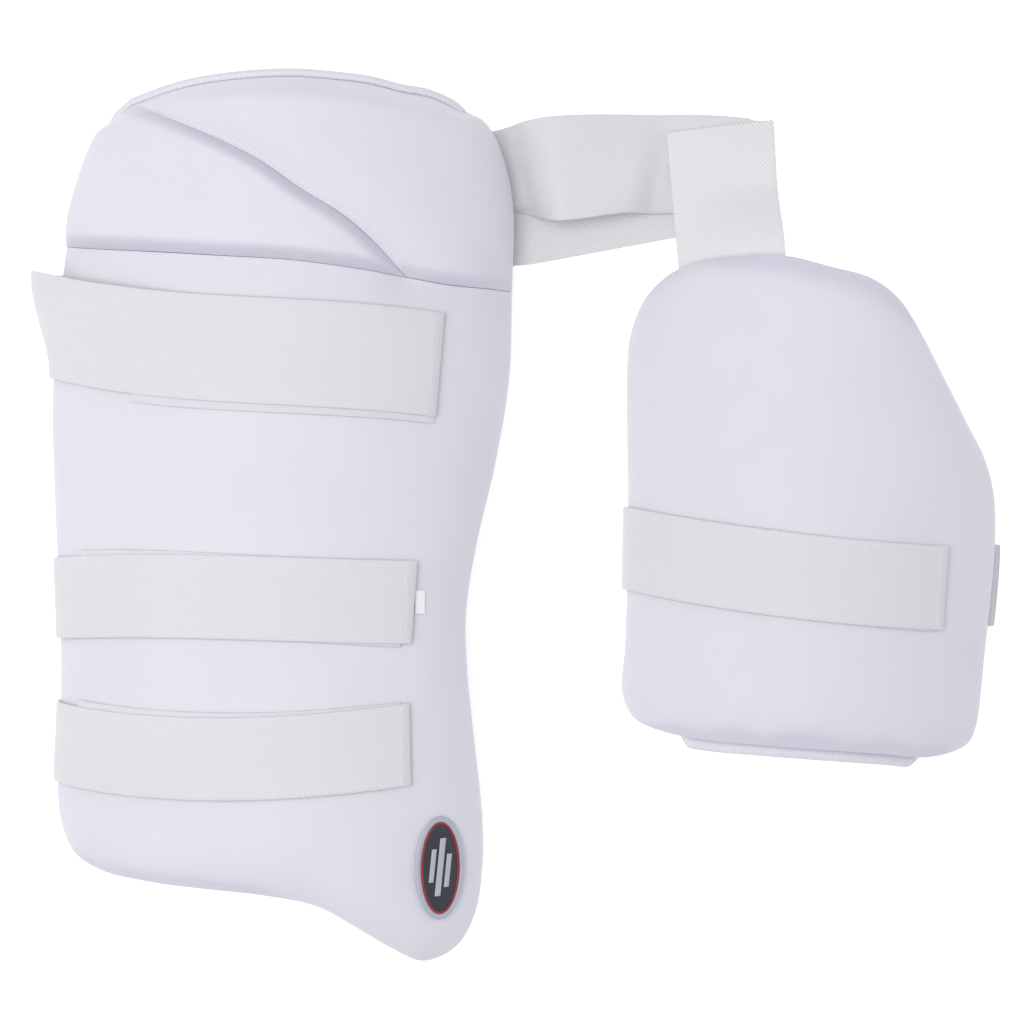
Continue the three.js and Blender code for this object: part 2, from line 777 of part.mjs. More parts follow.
function badgeRimGeometry(pads) {
  const rings = [
    badgeRing(pads, 1, BADGE.rimWidth, 0),
    badgeRing(pads, 1, 0, 0),
    badgeRing(pads, 1, BADGE.rimBevel, BADGE.rimThickness),
    badgeRing(pads, 1, BADGE.rimWidth, BADGE.rimThickness),
  ];
  const positions = [];
  rings.forEach((ring) => ring.forEach((p) => positions.push(p.x, p.y, p.z)));
  const index = [];
  for (let k = 0; k < rings.length; k += 1) {
    const a = k * BADGE_SIDES;
    const b = ((k + 1) % rings.length) * BADGE_SIDES;
    for (let i = 0; i < BADGE_SIDES; i += 1) {
      const j = (i + 1) % BADGE_SIDES;
      index.push(a + i, b + i, b + j);
      index.push(a + i, b + j, a + j);
    }
  }
  return closedGeometry(positions, index);
}

// Belt and tab

const BELT_STEPS = 26;
const BELT_TURN_STEPS = 6;
const BELT_RISE_STEPS = 11;

function beltRows() {
  const half = ELASTIC_THICKNESS / 2;
  const sewn = (x, extra) => undersideAt(OUTER, x - OUTER.centreX) - GAP - half - extra;
  const line = [];
  const upper = new THREE.CatmullRomCurve3(
    BELT_UPPER.map(([x, drop, z]) => new THREE.Vector3(x, TOP_Y - drop, z === null ? sewn(x, 2 * GAP) : z)),
    false,
    'centripetal',
  );
  line.push(...upper.getPoints(BELT_STEPS));
  const last = line[line.length - 1];
  const middleZ = (last.z + half) / 2;
  for (let k = 1; k < BELT_TURN_STEPS; k += 1) {
    const angle = (k / BELT_TURN_STEPS) * Math.PI;
    const x = mix(last.x, BELT_TURN.x + BELT_TURN.radius, Math.sin(angle));
    const z = middleZ + (last.z - middleZ) * Math.cos(angle);
    line.push(new THREE.Vector3(x, TOP_Y - BELT_TURN.drop, z));
  }
  BELT_LOWER.forEach(([x, drop]) => line.push(new THREE.Vector3(x, TOP_Y - drop, half)));
  const { fromX, toX, endX, drop, endDrop } = BELT_LOWER_RISE;
  for (let k = 0; k <= BELT_RISE_STEPS; k += 1) {
    const t = k / BELT_RISE_STEPS;
    const x = mix(fromX, endX, t);
    const under = sewn(x, ELASTIC_THICKNESS + 5 * GAP);
    const z = mix(half, under, smooth((x - fromX) / (toX - fromX)));
    line.push(new THREE.Vector3(x, TOP_Y - mix(drop, endDrop, t), z));
  }
  return line.map((p, i) => {
    const before = line[Math.max(0, i - 1)];
    const after = line[Math.min(line.length - 1, i + 1)];
    const inTurn = i > BELT_STEPS && i < BELT_STEPS + BELT_TURN_STEPS;
    const tilt = inTurn ? 0 : (after.y - before.y) / ((after.x - before.x) || 1);
    return [-1, 0, 1].map((side) => {
      const reach = (side * WIDE_ELASTIC) / 2;
      return new THREE.Vector3(p.x - reach * tilt * BELT_LEAN, p.y + reach, p.z);
    });
  });
}

const TAB_COLUMNS = [0, 0.33, 0.67, 1];
const TAB_STEPS = 12;

function tabRows() {
  const half = WEBBING_THICKNESS / 2;
  const turn = (INNER.turn * Math.PI) / 180;
  const faceZ = BELT_FACE_Z + ELASTIC_THICKNESS / 2 + GAP + half;
  const columns = TAB_COLUMNS.map((share) => {
    const top = new THREE.Vector2(
      mix(TAB.foldLeft[0], TAB.foldRight[0], share),
      TOP_Y - mix(TAB.foldLeft[1], TAB.foldRight[1], share),
    );
    const localX = mix(TAB.entryLeft[0], TAB.entryRight[0], share) * INNER.width;
    const localY = mix(TAB.entryLeft[1], TAB.entryRight[1], share) * INNER.height - TAB.tuck;
    const foot = new THREE.Vector2(
      INNER.centreX + localX * Math.cos(turn) - localY * Math.sin(turn),
      INNER.centreY + localX * Math.sin(turn) + localY * Math.cos(turn),
    );
    const line = [new THREE.Vector3(top.x, top.y - TAB.hem, faceZ)];
    TAB_FOLD.forEach(([back, raised]) => {
      line.push(new THREE.Vector3(top.x, top.y - back, faceZ + TAB.foldLift * raised));
    });
    const start = line[line.length - 1];
    for (let k = 1; k <= TAB_STEPS; k += 1) {
      const t = k / TAB_STEPS;
      const x = mix(start.x, foot.x, t);
      const y = mix(start.y, foot.y, t);
      const guardX = (x - INNER.centreX) * Math.cos(turn) + (y - INNER.centreY) * Math.sin(turn);
      const under = undersideAt(INNER, guardX) - 2 * GAP - half;
      const rise = smooth((t - TAB.riseFrom) / (TAB.riseTo - TAB.riseFrom));
      line.push(new THREE.Vector3(x, y, mix(start.z, under, rise)));
    }
    return line;
  });
  return columns[0].map((p, i) => columns.map((line) => line[i]));
}

// Build the object

const model = new THREE.Group();

function guardGroup(guard) {
  const group = new THREE.Group();
  group.position.set(guard.centreX, guard.centreY, 0);
  group.rotation.z = (guard.turn * Math.PI) / 180;
  model.add(group);
  return group;
}

function addPiece(parent, name, geometry, look) {
  const mesh = new THREE.Mesh(geometry, new THREE.MeshStandardMaterial(look));
  mesh.name = name;
  parent.add(mesh);
}

// Outer guard
const outerGroup = guardGroup(OUTER);
const thighSide = sampleOpen(OUTER_THIGH_SIDE, OUTER, 44);
const hipLeft = sampleOpen(OUTER_HIP_LEFT, OUTER, 7);
const dome = sampleOpen(OUTER_DOME, OUTER, 20);
const seamLeft = sampleOpen(HIP_SEAM.slice(0, SEAM_MEETING_ROW + 1), OUTER, 9);
const seamRight = sampleOpen(HIP_SEAM.slice(SEAM_MEETING_ROW), OUTER, 4);
const reversed = (points) => points.slice().reverse();

const wholeOuter = [...hipLeft.slice(0, -1), ...dome.slice(0, -1), ...thighSide.slice(0, -1)];
// 1 along the top, where the panel shows as a sewn edge, and 0 elsewhere
const isTop = (p) => smooth((p.y / OUTER.height - 0.44) / 0.03) * smooth((0.43 - p.x / OUTER.width) / 0.04);
const flanged = (points) => {
  return points.map((p) => new THREE.Vector2(p.x, p.y - OUTER.topFlange * isTop(p)));
};
const hipLeftPad = flanged(hipLeft);
const domePad = flanged(dome);
const diagonalPad = sampleOpen(DIAGONAL_BELOW_EDGE, OUTER, 10);

const thighPad = makePad(OUTER, OUTER.padThickness, [
  { points: thighSide, seam: false },
  { points: seamLeft, seam: true },
  { points: seamRight, seam: true },
]);
const hipFrontPad = makePad(OUTER, OUTER.hipThickness, [
  { points: hipLeftPad, seam: false },
  { points: diagonalPad, seam: true },
  { points: reversed(seamLeft), seam: true },
]);
const hipRearPad = makePad(OUTER, OUTER.hipThickness, [
  { points: domePad, seam: false },
  { points: reversed(seamRight), seam: true },
  { points: reversed(diagonalPad), seam: true },
]);
const outerPads = [thighPad, hipFrontPad, hipRearPad];

const outerPanelLoop = insetLoop(wholeOuter, (i) => PANEL_INSET * (1 - isTop(wholeOuter[i])));
const thighCentre = centreOf(thighPad.loop);
const frontCentre = new THREE.Vector2(-0.22 * OUTER.width, 0.375 * OUTER.height);
const rearCentre = new THREE.Vector2(0.2 * OUTER.width, 0.38 * OUTER.height);
addPiece(outerGroup, 'outer_back_panel', panelGeometry(OUTER, outerPanelLoop), LINING);
addPiece(outerGroup, 'outer_thigh_pad', padGeometry(thighPad, thighCentre), COVER);
addPiece(outerGroup, 'outer_hip_pad_front', padGeometry(hipFrontPad, frontCentre), COVER);
addPiece(outerGroup, 'outer_hip_pad_rear', padGeometry(hipRearPad, rearCentre), COVER);

// Inner guard
const innerGroup = guardGroup(INNER);
const innerLoop = sampleClosed(INNER_OUTLINE, INNER, 52);
const innerPad = makePad(INNER, INNER.padThickness, [{ points: [...innerLoop, innerLoop[0]], seam: false }]);
const isHem = (p) => {
  const low = smooth((-0.42 - p.y / INNER.height) / 0.04);
  const from = smooth((p.x / INNER.width - INNER_HEM_FROM) / 0.05);
  const to = smooth((INNER_HEM_TO - p.x / INNER.width) / 0.06);
  return low * from * to;
};
const innerPanelLoop = insetLoop(innerLoop, (i) => mix(PANEL_INSET, -INNER.bottomHem, isHem(innerLoop[i])));
const innerCentre = new THREE.Vector2(-0.02 * INNER.width, -0.02 * INNER.height);
addPiece(innerGroup, 'inner_back_panel', panelGeometry(INNER, innerPanelLoop), LINING);
addPiece(innerGroup, 'inner_thigh_pad', padGeometry(innerPad, innerCentre), COVER);

// Straps and patches
Object.entries(STRAPS).forEach(([name, strap]) => {
  const outer = strap.guard === 'outer';
  const group = outer ? outerGroup : innerGroup;
  const pads = outer ? outerPads : [innerPad];
  const span = outer ? wholeOuter : innerPad.loop;
  addPiece(group, name, sheetGeometry(strapRows(strap, pads, span), ELASTIC_THICKNESS), ELASTIC);
  addPiece(group, `${name}_patch`, sheetGeometry(patchRows(strap, pads), PATCH_THICKNESS), PATCH);
});
const labelGeometry = sheetGeometry(labelRows(STRAPS.strap_middle, outerPads), LABEL.thickness);
addPiece(outerGroup, 'strap_label', labelGeometry, LABEL_CLOTH);

// Badge
addPiece(outerGroup, 'badge_rim', badgeRimGeometry(outerPads), BADGE_RIM);
addPiece(outerGroup, 'badge_field', badgeFieldGeometry(outerPads), BADGE_FIELD);

// Belt and tab
addPiece(model, 'waist_belt', sheetGeometry(beltRows(), ELASTIC_THICKNESS), ELASTIC);
addPiece(model, 'belt_tab', sheetGeometry(tabRows(), WEBBING_THICKNESS), WEBBING);

// Stand the whole on its lowest point, with the origin under the middle of its box
const box = new THREE.Box3().setFromObject(model, true);
const middle = box.getCenter(new THREE.Vector3());
model.position.set(-middle.x, -middle.y, -box.min.z);

export default model;
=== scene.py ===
# %% [markdown]
# # A cricket thigh guard
# Two padded guards hang on one elastic waist belt and lie face up on a pale floor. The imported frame
# gives every part's place. Each piece below is a surface worked out with numpy, then dressed in
# knit, elastic, webbing or rubber. Lengths are in millimetres until a mesh is made from them.

# %% Load the frame
import math

import bpy
import numpy as np
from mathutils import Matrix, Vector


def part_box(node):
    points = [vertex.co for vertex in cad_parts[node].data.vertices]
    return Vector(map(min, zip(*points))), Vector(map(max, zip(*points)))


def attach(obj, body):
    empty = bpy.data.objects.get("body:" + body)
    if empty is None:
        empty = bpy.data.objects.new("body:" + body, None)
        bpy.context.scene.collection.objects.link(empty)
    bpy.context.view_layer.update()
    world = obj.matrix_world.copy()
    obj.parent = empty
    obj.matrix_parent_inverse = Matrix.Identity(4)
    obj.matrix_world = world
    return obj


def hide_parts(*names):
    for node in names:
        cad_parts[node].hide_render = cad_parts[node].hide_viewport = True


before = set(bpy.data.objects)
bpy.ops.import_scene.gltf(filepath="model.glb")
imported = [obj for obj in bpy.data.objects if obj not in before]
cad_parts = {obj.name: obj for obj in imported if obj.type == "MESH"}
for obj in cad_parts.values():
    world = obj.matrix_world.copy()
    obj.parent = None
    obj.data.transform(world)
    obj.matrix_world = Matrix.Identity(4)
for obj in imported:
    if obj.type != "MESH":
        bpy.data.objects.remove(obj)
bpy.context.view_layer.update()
MM = 0.001
print("nodes in the frame:", len(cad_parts))

# %% [markdown]
# The sizes that both guards are drawn from. A guard's sagitta is how deep its hollow side is, its
# roll is how far the padding takes to rise from its rim, and its turn is in degrees about Z. The
# centre of the outer guard is found from the badge, because the badge's box lies at a known share
# of the guard's width and height.

# %% Sizes
PANEL = 2.5
ELASTIC = 1.5
PATCH = 1.2
WEBBING = 1.6
GAP = 0.3
SURFACE_GAP = 0.5
RIM_REST = 2 * ELASTIC + 3 * GAP

BADGE_AT = (0.343, -0.391)
OUTER = dict(width=224.0, height=414.0, sagitta=46.0, foam=20.0, hip_foam=24.0, roll=22.0, turn=0.0)
INNER = dict(width=183.0, height=233.0, sagitta=37.0, foam=18.0, roll=20.0, turn=-3.0)
INNER_FROM_OUTER = (253.6, 6.9)
OUTER_IN_PHOTO = np.array([-110.3, -4.2])

badge_low, badge_high = [np.array(corner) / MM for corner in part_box("badge_rim")]
badge_middle = (badge_low + badge_high) / 2
OUTER["centre"] = badge_middle[:2] - np.array(BADGE_AT) * [OUTER["width"], OUTER["height"]]
INNER["centre"] = OUTER["centre"] + INNER_FROM_OUTER
PHOTO_MIDDLE = OUTER["centre"] - OUTER_IN_PHOTO
print("outer centre", OUTER["centre"].round(2), "inner centre", INNER["centre"].round(2))

# %% [markdown]
# ## The camera and the light
# The guard was photographed from straight above with a long lens, so the camera looks straight
# down from 1.3 m. The lens is set so that one pixel covers 0.475 mm at 30 mm over the floor.

# %% Camera
CAMERA_HEIGHT = 1.3
SENSOR = 36.0
MM_PER_PIXEL = 0.475
FOCUS_HEIGHT = 30.0
pixels_at_focus = 1024 * MM_PER_PIXEL
camera_data = bpy.data.cameras.new("camera")
camera_data.sensor_width = SENSOR
camera_data.lens = SENSOR * (CAMERA_HEIGHT / MM - FOCUS_HEIGHT) / pixels_at_focus
camera = bpy.data.objects.new("camera", camera_data)
camera.location = (PHOTO_MIDDLE[0] * MM, PHOTO_MIDDLE[1] * MM, CAMERA_HEIGHT)
bpy.context.collection.objects.link(camera)
bpy.context.scene.camera = camera
print("lens", round(camera_data.lens, 1), "mm")


# %% [markdown]
# The studio is a pale floor, a pale surround and three soft lamps. The main lamp hangs overhead and
# to the left, because the photo's level faces are brightest, its rims are darker, and the inner
# guard's right side is the darkest part. A weak lamp on each side keeps the rims from going grey.
# The surround is a little blue, as the photo's shades are. The floor glows slightly, like a light
# table, which keeps the shadows faint.

# %% Light and floor
def area_lamp(name, place, target, size, power):
    """A square lamp at place that faces target, all in metres."""
    data = bpy.data.lights.new(name, "AREA")
    data.size = size
    data.energy = power
    lamp = bpy.data.objects.new(name, data)
    lamp.location = place
    away = np.array(place) - np.array(target)
    lamp.rotation_euler = (
        math.acos(away[2] / np.linalg.norm(away)),
        0.0,
        math.atan2(away[1], away[0]) + math.pi / 2,
    )
    bpy.context.collection.objects.link(lamp)


# name, place, target, size in metres, power in watts
area_lamp("overhead", (-0.32, 0.05, 1.6), (-0.05, 0.0, 0.0), 0.9, 13.9)
area_lamp("left", (-0.95, 0.0, 0.9), (0.0, 0.0, 0.0), 0.8, 2.0)
area_lamp("right", (1.0, 0.2, 0.6), (0.0, 0.0, 0.0), 0.8, 1.2)

world = bpy.data.worlds.new("studio")
world.use_nodes = True
world.node_tree.nodes["Background"].inputs["Color"].default_value = (0.90, 0.895, 1.0, 1.0)
world.node_tree.nodes["Background"].inputs["Strength"].default_value = 0.50
bpy.context.scene.world = world
bpy.context.scene.view_settings.view_transform = "Standard"


REACH = 14.0
FLOOR_Z = -0.0004
FLOOR_GLOW = 0.42
floor_mesh = bpy.data.meshes.new("floor")
floor_corners = [(-REACH, -REACH), (REACH, -REACH), (REACH, REACH), (-REACH, REACH)]
floor_mesh.from_pydata([(x, y, FLOOR_Z) for x, y in floor_corners], [], [(0, 1, 2, 3)])
floor = bpy.data.objects.new("floor", floor_mesh)
floor_material = bpy.data.materials.new("floor")
floor_material.use_nodes = True
floor_shader = floor_material.node_tree.nodes["Principled BSDF"].inputs
floor_shader["Base Color"].default_value = (0.93, 0.93, 0.93, 1.0)
floor_shader["Roughness"].default_value = 0.9
floor_shader["Emission Color"].default_value = (1.0, 1.0, 1.0, 1.0)
floor_shader["Emission Strength"].default_value = FLOOR_GLOW
floor_mesh.materials.append(floor_material)
bpy.context.collection.objects.link(floor)

# %% [markdown]
# ## Helpers for shapes
# A smooth curve through a few chosen points gives each outline. The points are shares of the
# guard's width and height, so the table reads like a pattern cut from cloth.


# %% Curves
def smooth_step(t):
    """0 below 0 and 1 above 1, with an even S-shaped rise between: t squared times (3 - 2 t)."""
    u = np.clip(t, 0.0, 1.0)
    return u * u * (3 - 2 * u)


def mix(a, b, t):
    """A straight blend: a plus t times the way from a to b."""
    return a + (b - a) * t


def unit(vectors):
    """Each vector divided by its own length."""
    return vectors / np.maximum(np.linalg.norm(vectors, axis=-1, keepdims=True), 1e-9)


def along_line(line):
    """How far along a polyline each of its points lies."""
    return np.concatenate([[0], np.cumsum(np.linalg.norm(np.diff(line, axis=0), axis=1))])


def through_points(points, count, closed=False):
    """Points spaced evenly along a centripetal Catmull-Rom curve through the given points.

    Knots lie apart by the square root of each chord, and three rounds of straight blending
    between neighbouring knots give the curve.
    """
    p = np.asarray(points, float)
    if closed:
        p = np.vstack([p[-1], p, p[0], p[1]])
    else:
        p = np.vstack([2 * p[0] - p[1], p, 2 * p[-1] - p[-2]])
    knots = np.concatenate([[0], np.cumsum(np.linalg.norm(np.diff(p, axis=0), axis=1) ** 0.5)])
    t = np.linspace(knots[1], knots[-2], 60 * len(p))
    i = np.clip(np.searchsorted(knots, t, side="right") - 1, 1, len(p) - 3)

    def blend(low, high, a, b):
        share = ((t - knots[i + low]) / (knots[i + high] - knots[i + low]))[:, None]
        return a * (1 - share) + b * share

    first = blend(-1, 0, p[i - 1], p[i])
    second = blend(0, 1, p[i], p[i + 1])
    third = blend(1, 2, p[i + 1], p[i + 2])
    fine = blend(0, 1, blend(-1, 1, first, second), blend(0, 2, second, third))
    return even_steps(fine, count, closed)


def even_steps(fine, count, closed=False):
    """Resample a polyline at even arc length; a closed one leaves out its repeated last point."""
    length = along_line(fine)
    at = np.linspace(0, length[-1], count + 1)
    if closed:
        at = at[:-1]
    return np.stack([np.interp(at, length, fine[:, k]) for k in range(fine.shape[1])], axis=1)


BLOCK = 4000


def distance_to(points, line):
    """Shortest distance from each point to a polyline: each segment's nearest point is found by
    projecting on it and keeping the foot between its ends."""
    a = line[:-1]
    step = line[1:] - a
    square = (step**2).sum(axis=1)
    flat = points.reshape(-1, 2)
    out = np.empty(len(flat))
    for start in range(0, len(flat), BLOCK):
        block = flat[start:start + BLOCK, None, :] - a[None]
        share = np.clip((block * step).sum(axis=2) / square, 0, 1)
        off = block - share[..., None] * step
        out[start:start + BLOCK] = np.sqrt((off**2).sum(axis=2).min(axis=1))
    return out.reshape(points.shape[:-1])


def signed_area(loop):
    """Area inside a closed loop, above 0 when it runs anticlockwise: half the sum of each x times
    the next y, less the next x times y."""
    after = np.roll(loop, -1, axis=0)
    return (loop[:, 0] * after[:, 1] - after[:, 0] * loop[:, 1]).sum() / 2


def span_of(loop, y):
    """Lowest and highest x where a closed loop crosses each height y."""
    a = loop
    b = np.roll(loop, -1, axis=0)
    crosses = (a[:, 1] > y) != (b[:, 1] > y)
    a, b = a[crosses], b[crosses]
    x = a[:, 0] + (y - a[:, 1]) / (b[:, 1] - a[:, 1]) * (b[:, 0] - a[:, 0])
    return x.min(), x.max()


# %% [markdown]
# Three mesh makers cover every piece. A ringed skin closes over a stack of loops, which suits a
# pad. A band is a sheet with two faces that share their rounded edges, which suits elastic and
# cloth. Stitches are small spindles laid in a row.


# %% Mesh makers
PIECES = {}


def volume_of(points, quads, triangles):
    """Signed volume: a sixth of the sum of each face's corner product."""
    faces = np.vstack([quads[:, [0, 1, 2]], quads[:, [0, 2, 3]], triangles])
    a, b, c = points[faces[:, 0]], points[faces[:, 1]], points[faces[:, 2]]
    return np.einsum("ij,ij->i", a, np.cross(b, c)).sum() / 6


def add_mesh(name, points, quads, triangles=np.empty((0, 3), int), uv=None):
    """A closed mesh at the origin from points in millimetres, with its faces turned outwards."""
    if volume_of(points, quads, triangles) < 0:
        quads = quads[:, ::-1]
        triangles = triangles[:, ::-1]
    corners = np.concatenate([quads.ravel(), triangles.ravel()]).astype(np.int32)
    sizes = np.concatenate([np.full(len(quads), 4), np.full(len(triangles), 3)])
    mesh = bpy.data.meshes.new(name)
    mesh.vertices.add(len(points))
    mesh.vertices.foreach_set("co", (points * MM).astype(np.float32).ravel())
    mesh.loops.add(len(corners))
    mesh.loops.foreach_set("vertex_index", corners)
    mesh.polygons.add(len(sizes))
    mesh.polygons.foreach_set("loop_start", np.concatenate([[0], np.cumsum(sizes)[:-1]]).astype(np.int32))
    mesh.update(calc_edges=True)
    mesh.polygons.foreach_set("use_smooth", np.ones(len(sizes), bool))
    if uv is not None:
        layer = mesh.uv_layers.new(name="UVMap")
        layer.data.foreach_set("uv", uv[corners].astype(np.float32).ravel())
    mesh.validate()
    item = bpy.data.objects.new(name, mesh)
    bpy.context.collection.objects.link(item)
    PIECES[name] = item
    print(f"{name}: {len(points)} points, {len(sizes)} faces")
    return item


def grid_quads(index):
    """Four-sided faces between neighbouring entries of a table of vertex numbers."""
    return np.stack([index[:-1, :-1], index[1:, :-1], index[1:, 1:], index[:-1, 1:]], axis=-1).reshape(-1, 4)


def ringed_skin(name, first, rings, last):
    """A closed skin: each ring joins the next, and each end closes on one point."""
    count = rings.shape[1]
    points = np.vstack([rings.reshape(-1, 3), first, last])
    index = np.arange(len(rings) * count).reshape(len(rings), count)
    quads = grid_quads(np.hstack([index, index[:, :1]]))
    here = index[0]
    low = np.stack([np.full(count, len(points) - 2), here, np.roll(here, -1)], axis=1)
    here = index[-1]
    high = np.stack([np.full(count, len(points) - 1), np.roll(here, -1), here], axis=1)
    return add_mesh(name, points, quads, np.vstack([low, high]))


def surface_normals(grid):
    """Unit normals of a grid of points, from the steps along its two directions."""
    return unit(np.cross(np.gradient(grid, axis=0), np.gradient(grid, axis=1)))


def edge_shares(count, width, edge):
    """Positions from 0 to 1 across a band, with extra ones close to both edges."""
    near = np.array([0, 0.12, 0.4, 1.0]) * edge / width
    inside = np.linspace(near[-1], 1 - near[-1], count)
    return np.concatenate([near[:-1], inside, 1 - near[:-1][::-1]])


def band(name, middle, thickness):
    """A sheet with rounded edges. Its two faces lie half a thickness to each side of the middle
    surface, and the offset falls to nothing at the edge along a quarter circle."""
    normal = surface_normals(middle)
    along = np.linalg.norm(np.diff(middle, axis=0), axis=2).mean(axis=1)
    along = np.concatenate([[0], np.cumsum(along)])
    across = np.linalg.norm(np.diff(middle, axis=1), axis=2).mean(axis=0)
    across = np.concatenate([[0], np.cumsum(across)])
    from_end = np.minimum(along, along[-1] - along)[:, None]
    from_side = np.minimum(across, across[-1] - across)[None, :]
    edge = np.minimum(np.minimum(from_end, from_side) / (thickness / 2), 1)
    offset = thickness / 2 * np.sqrt(1 - (1 - edge) ** 2)
    rows, columns = edge.shape
    top = middle + normal * offset[..., None]
    low = middle - normal * offset[..., None]
    index = np.arange(rows * columns).reshape(rows, columns)
    under = index.copy()
    inner = np.arange((rows - 2) * (columns - 2)).reshape(rows - 2, columns - 2)
    under[1:-1, 1:-1] = inner + rows * columns
    points = np.vstack([top.reshape(-1, 3), low[1:-1, 1:-1].reshape(-1, 3)])
    quads = np.vstack([grid_quads(index), grid_quads(under)[:, ::-1]])
    flat = np.stack(np.broadcast_arrays(along[:, None], across[None, :]), axis=-1) * MM
    uv = np.vstack([flat.reshape(-1, 2), flat[1:-1, 1:-1].reshape(-1, 2)])
    item = add_mesh(name, points, quads, uv=uv)
    item["flat_mm"] = [float(across[-1]), float(along[-1])]
    return item


SPINDLE_SHARES = np.array([0.1, 0.3, 0.7, 0.9])
SPINDLE_SIDES = 6
END_DIP = 0.35


def stitches(name, lines, pitch, length, thread):
    """One spindle for each stitch. A line is (points, normals) and, if wanted, its count of stitches.
    Each spindle lies along it, and its radius follows the square root of s(1 - s) over its length s.
    Its two ends dip into the cloth."""
    all_points = []
    all_quads = []
    all_caps = []
    base = 0
    for path, up, *counted in lines:
        steps = counted[0] if counted else max(2, int(along_line(path)[-1] / pitch))
        joined = even_steps(np.hstack([path, up]), steps)
        centre = (joined[:-1, :3] + joined[1:, :3]) / 2
        along = unit(joined[1:, :3] - joined[:-1, :3])
        side = unit(np.cross(along, joined[:-1, 3:]))
        lift = np.cross(side, along)
        angle = np.arange(SPINDLE_SIDES) / SPINDLE_SIDES * 2 * math.pi
        radius = thread * np.sqrt(SPINDLE_SHARES * (1 - SPINDLE_SHARES))
        ring = (
            centre[:, None, None]
            + along[:, None, None] * ((SPINDLE_SHARES - 0.5) * length)[None, :, None, None]
            + side[:, None, None] * (radius[:, None] * np.cos(angle))[None, :, :, None]
            + lift[:, None, None] * (radius[:, None] * np.sin(angle))[None, :, :, None]
        )
        ends = centre[:, None] + along[:, None] * np.array([-0.5, 0.5])[None, :, None] * length
        ends -= lift[:, None] * (thread * END_DIP)
        count = len(centre)
        points = np.concatenate([ring.reshape(count, -1, 3), ends], axis=1)
        each = points.shape[1]
        table = np.arange(len(SPINDLE_SHARES) * SPINDLE_SIDES).reshape(-1, SPINDLE_SIDES)
        quads = grid_quads(np.hstack([table, table[:, :1]]))
        first, last = table[0], table[-1]
        caps = np.vstack([
            np.stack([np.full(SPINDLE_SIDES, each - 2), first, np.roll(first, -1)], axis=1),
            np.stack([np.full(SPINDLE_SIDES, each - 1), np.roll(last, -1), last], axis=1),
        ])
        starts = base + np.arange(count)[:, None, None] * each
        all_points.append(points.reshape(-1, 3))
        all_quads.append((quads[None] + starts).reshape(-1, 4))
        all_caps.append((caps[None] + starts).reshape(-1, 3))
        base += count * each
    return add_mesh(name, np.vstack(all_points), np.vstack(all_quads), np.vstack(all_caps))


# %% [markdown]
# ## The patterns of the two guards
# Each table below is an outline or a sewn line, as shares of the guard's width (x) and height (y)
# from its centre. They repeat the choices made for the solid model, so both follow one pattern.

# %% Outlines and seams
OUTER_THIGH_SIDE = [
    # x, y
    (0.493, 0.265),
    (0.487, 0.166),
    (0.458, 0.068),
    (0.417, -0.029),
    (0.396, -0.105),
    (0.398, -0.170),
    (0.411, -0.242),
    (0.430, -0.345),
    (0.429, -0.403),
    (0.414, -0.451),
    (0.376, -0.486),
    (0.307, -0.500),
    (0.238, -0.482),
    (0.164, -0.456),
    (0.090, -0.433),
    (-0.020, -0.420),
    (-0.262, -0.409),
    (-0.374, -0.400),
    (-0.440, -0.382),
    (-0.474, -0.344),
    (-0.480, -0.285),
    (-0.474, -0.226),
    (-0.473, -0.150),
    (-0.487, 0.019),
    (-0.494, 0.129),
    (-0.485, 0.205),
    (-0.459, 0.316),
]
OUTER_HIP_LEFT = [
    # x, y
    (-0.459, 0.316),
    (-0.458, 0.346),
    (-0.420, 0.409),
    (-0.384, 0.446),
    (-0.346, 0.471),
    (-0.312, 0.484),
]
OUTER_DOME = [
    # x, y
    (-0.312, 0.484),
    (-0.217, 0.498),
    (-0.141, 0.505),
    (0.020, 0.511),
    (0.110, 0.509),
    (0.196, 0.505),
    (0.260, 0.498),
    (0.320, 0.494),
    (0.380, 0.481),
    (0.446, 0.452),
    (0.480, 0.410),
    (0.496, 0.360),
    (0.493, 0.265),
]
HIP_SEAM = [
    # x, y
    (-0.459, 0.316),
    (-0.406, 0.311),
    (-0.125, 0.297),
    (0.041, 0.291),
    (0.181, 0.282),
    (0.271, 0.275),
    (0.357, 0.268),
    (0.493, 0.265),
]
DIAGONAL_BELOW_EDGE = [
    # x, y
    (-0.312, 0.473),
    (-0.265, 0.462),
    (-0.117, 0.427),
    (-0.031, 0.403),
    (0.055, 0.371),
    (0.145, 0.341),
    (0.208, 0.312),
    (0.271, 0.275),
]
SEAM_MEETING_ROW = 5
INNER_OUTLINE = [
    # x, y
    (-0.373, 0.474),
    (-0.226, 0.496),
    (-0.110, 0.499),
    (-0.004, 0.483),
    (0.110, 0.463),
    (0.180, 0.428),
    (0.219, 0.392),
    (0.326, 0.262),
    (0.393, 0.180),
    (0.444, 0.119),
    (0.477, 0.050),
    (0.489, -0.030),
    (0.488, -0.120),
    (0.475, -0.300),
    (0.470, -0.375),
    (0.462, -0.432),
    (0.444, -0.466),
    (0.398, -0.486),
    (0.318, -0.498),
    (0.208, -0.493),
    (0.070, -0.489),
    (-0.106, -0.486),
    (-0.263, -0.484),
    (-0.365, -0.474),
    (-0.433, -0.455),
    (-0.468, -0.408),
    (-0.468, -0.296),
    (-0.480, -0.006),
    (-0.492, 0.139),
    (-0.500, 0.263),
    (-0.494, 0.340),
    (-0.456, 0.418),
]
OUTER_FOOT_ROLL = [
    # x, y
    (-0.500, -0.390),
    (-0.440, -0.394),
    (-0.374, -0.402),
    (-0.262, -0.409),
    (-0.120, -0.415),
    (-0.020, -0.424),
    (0.060, -0.446),
]
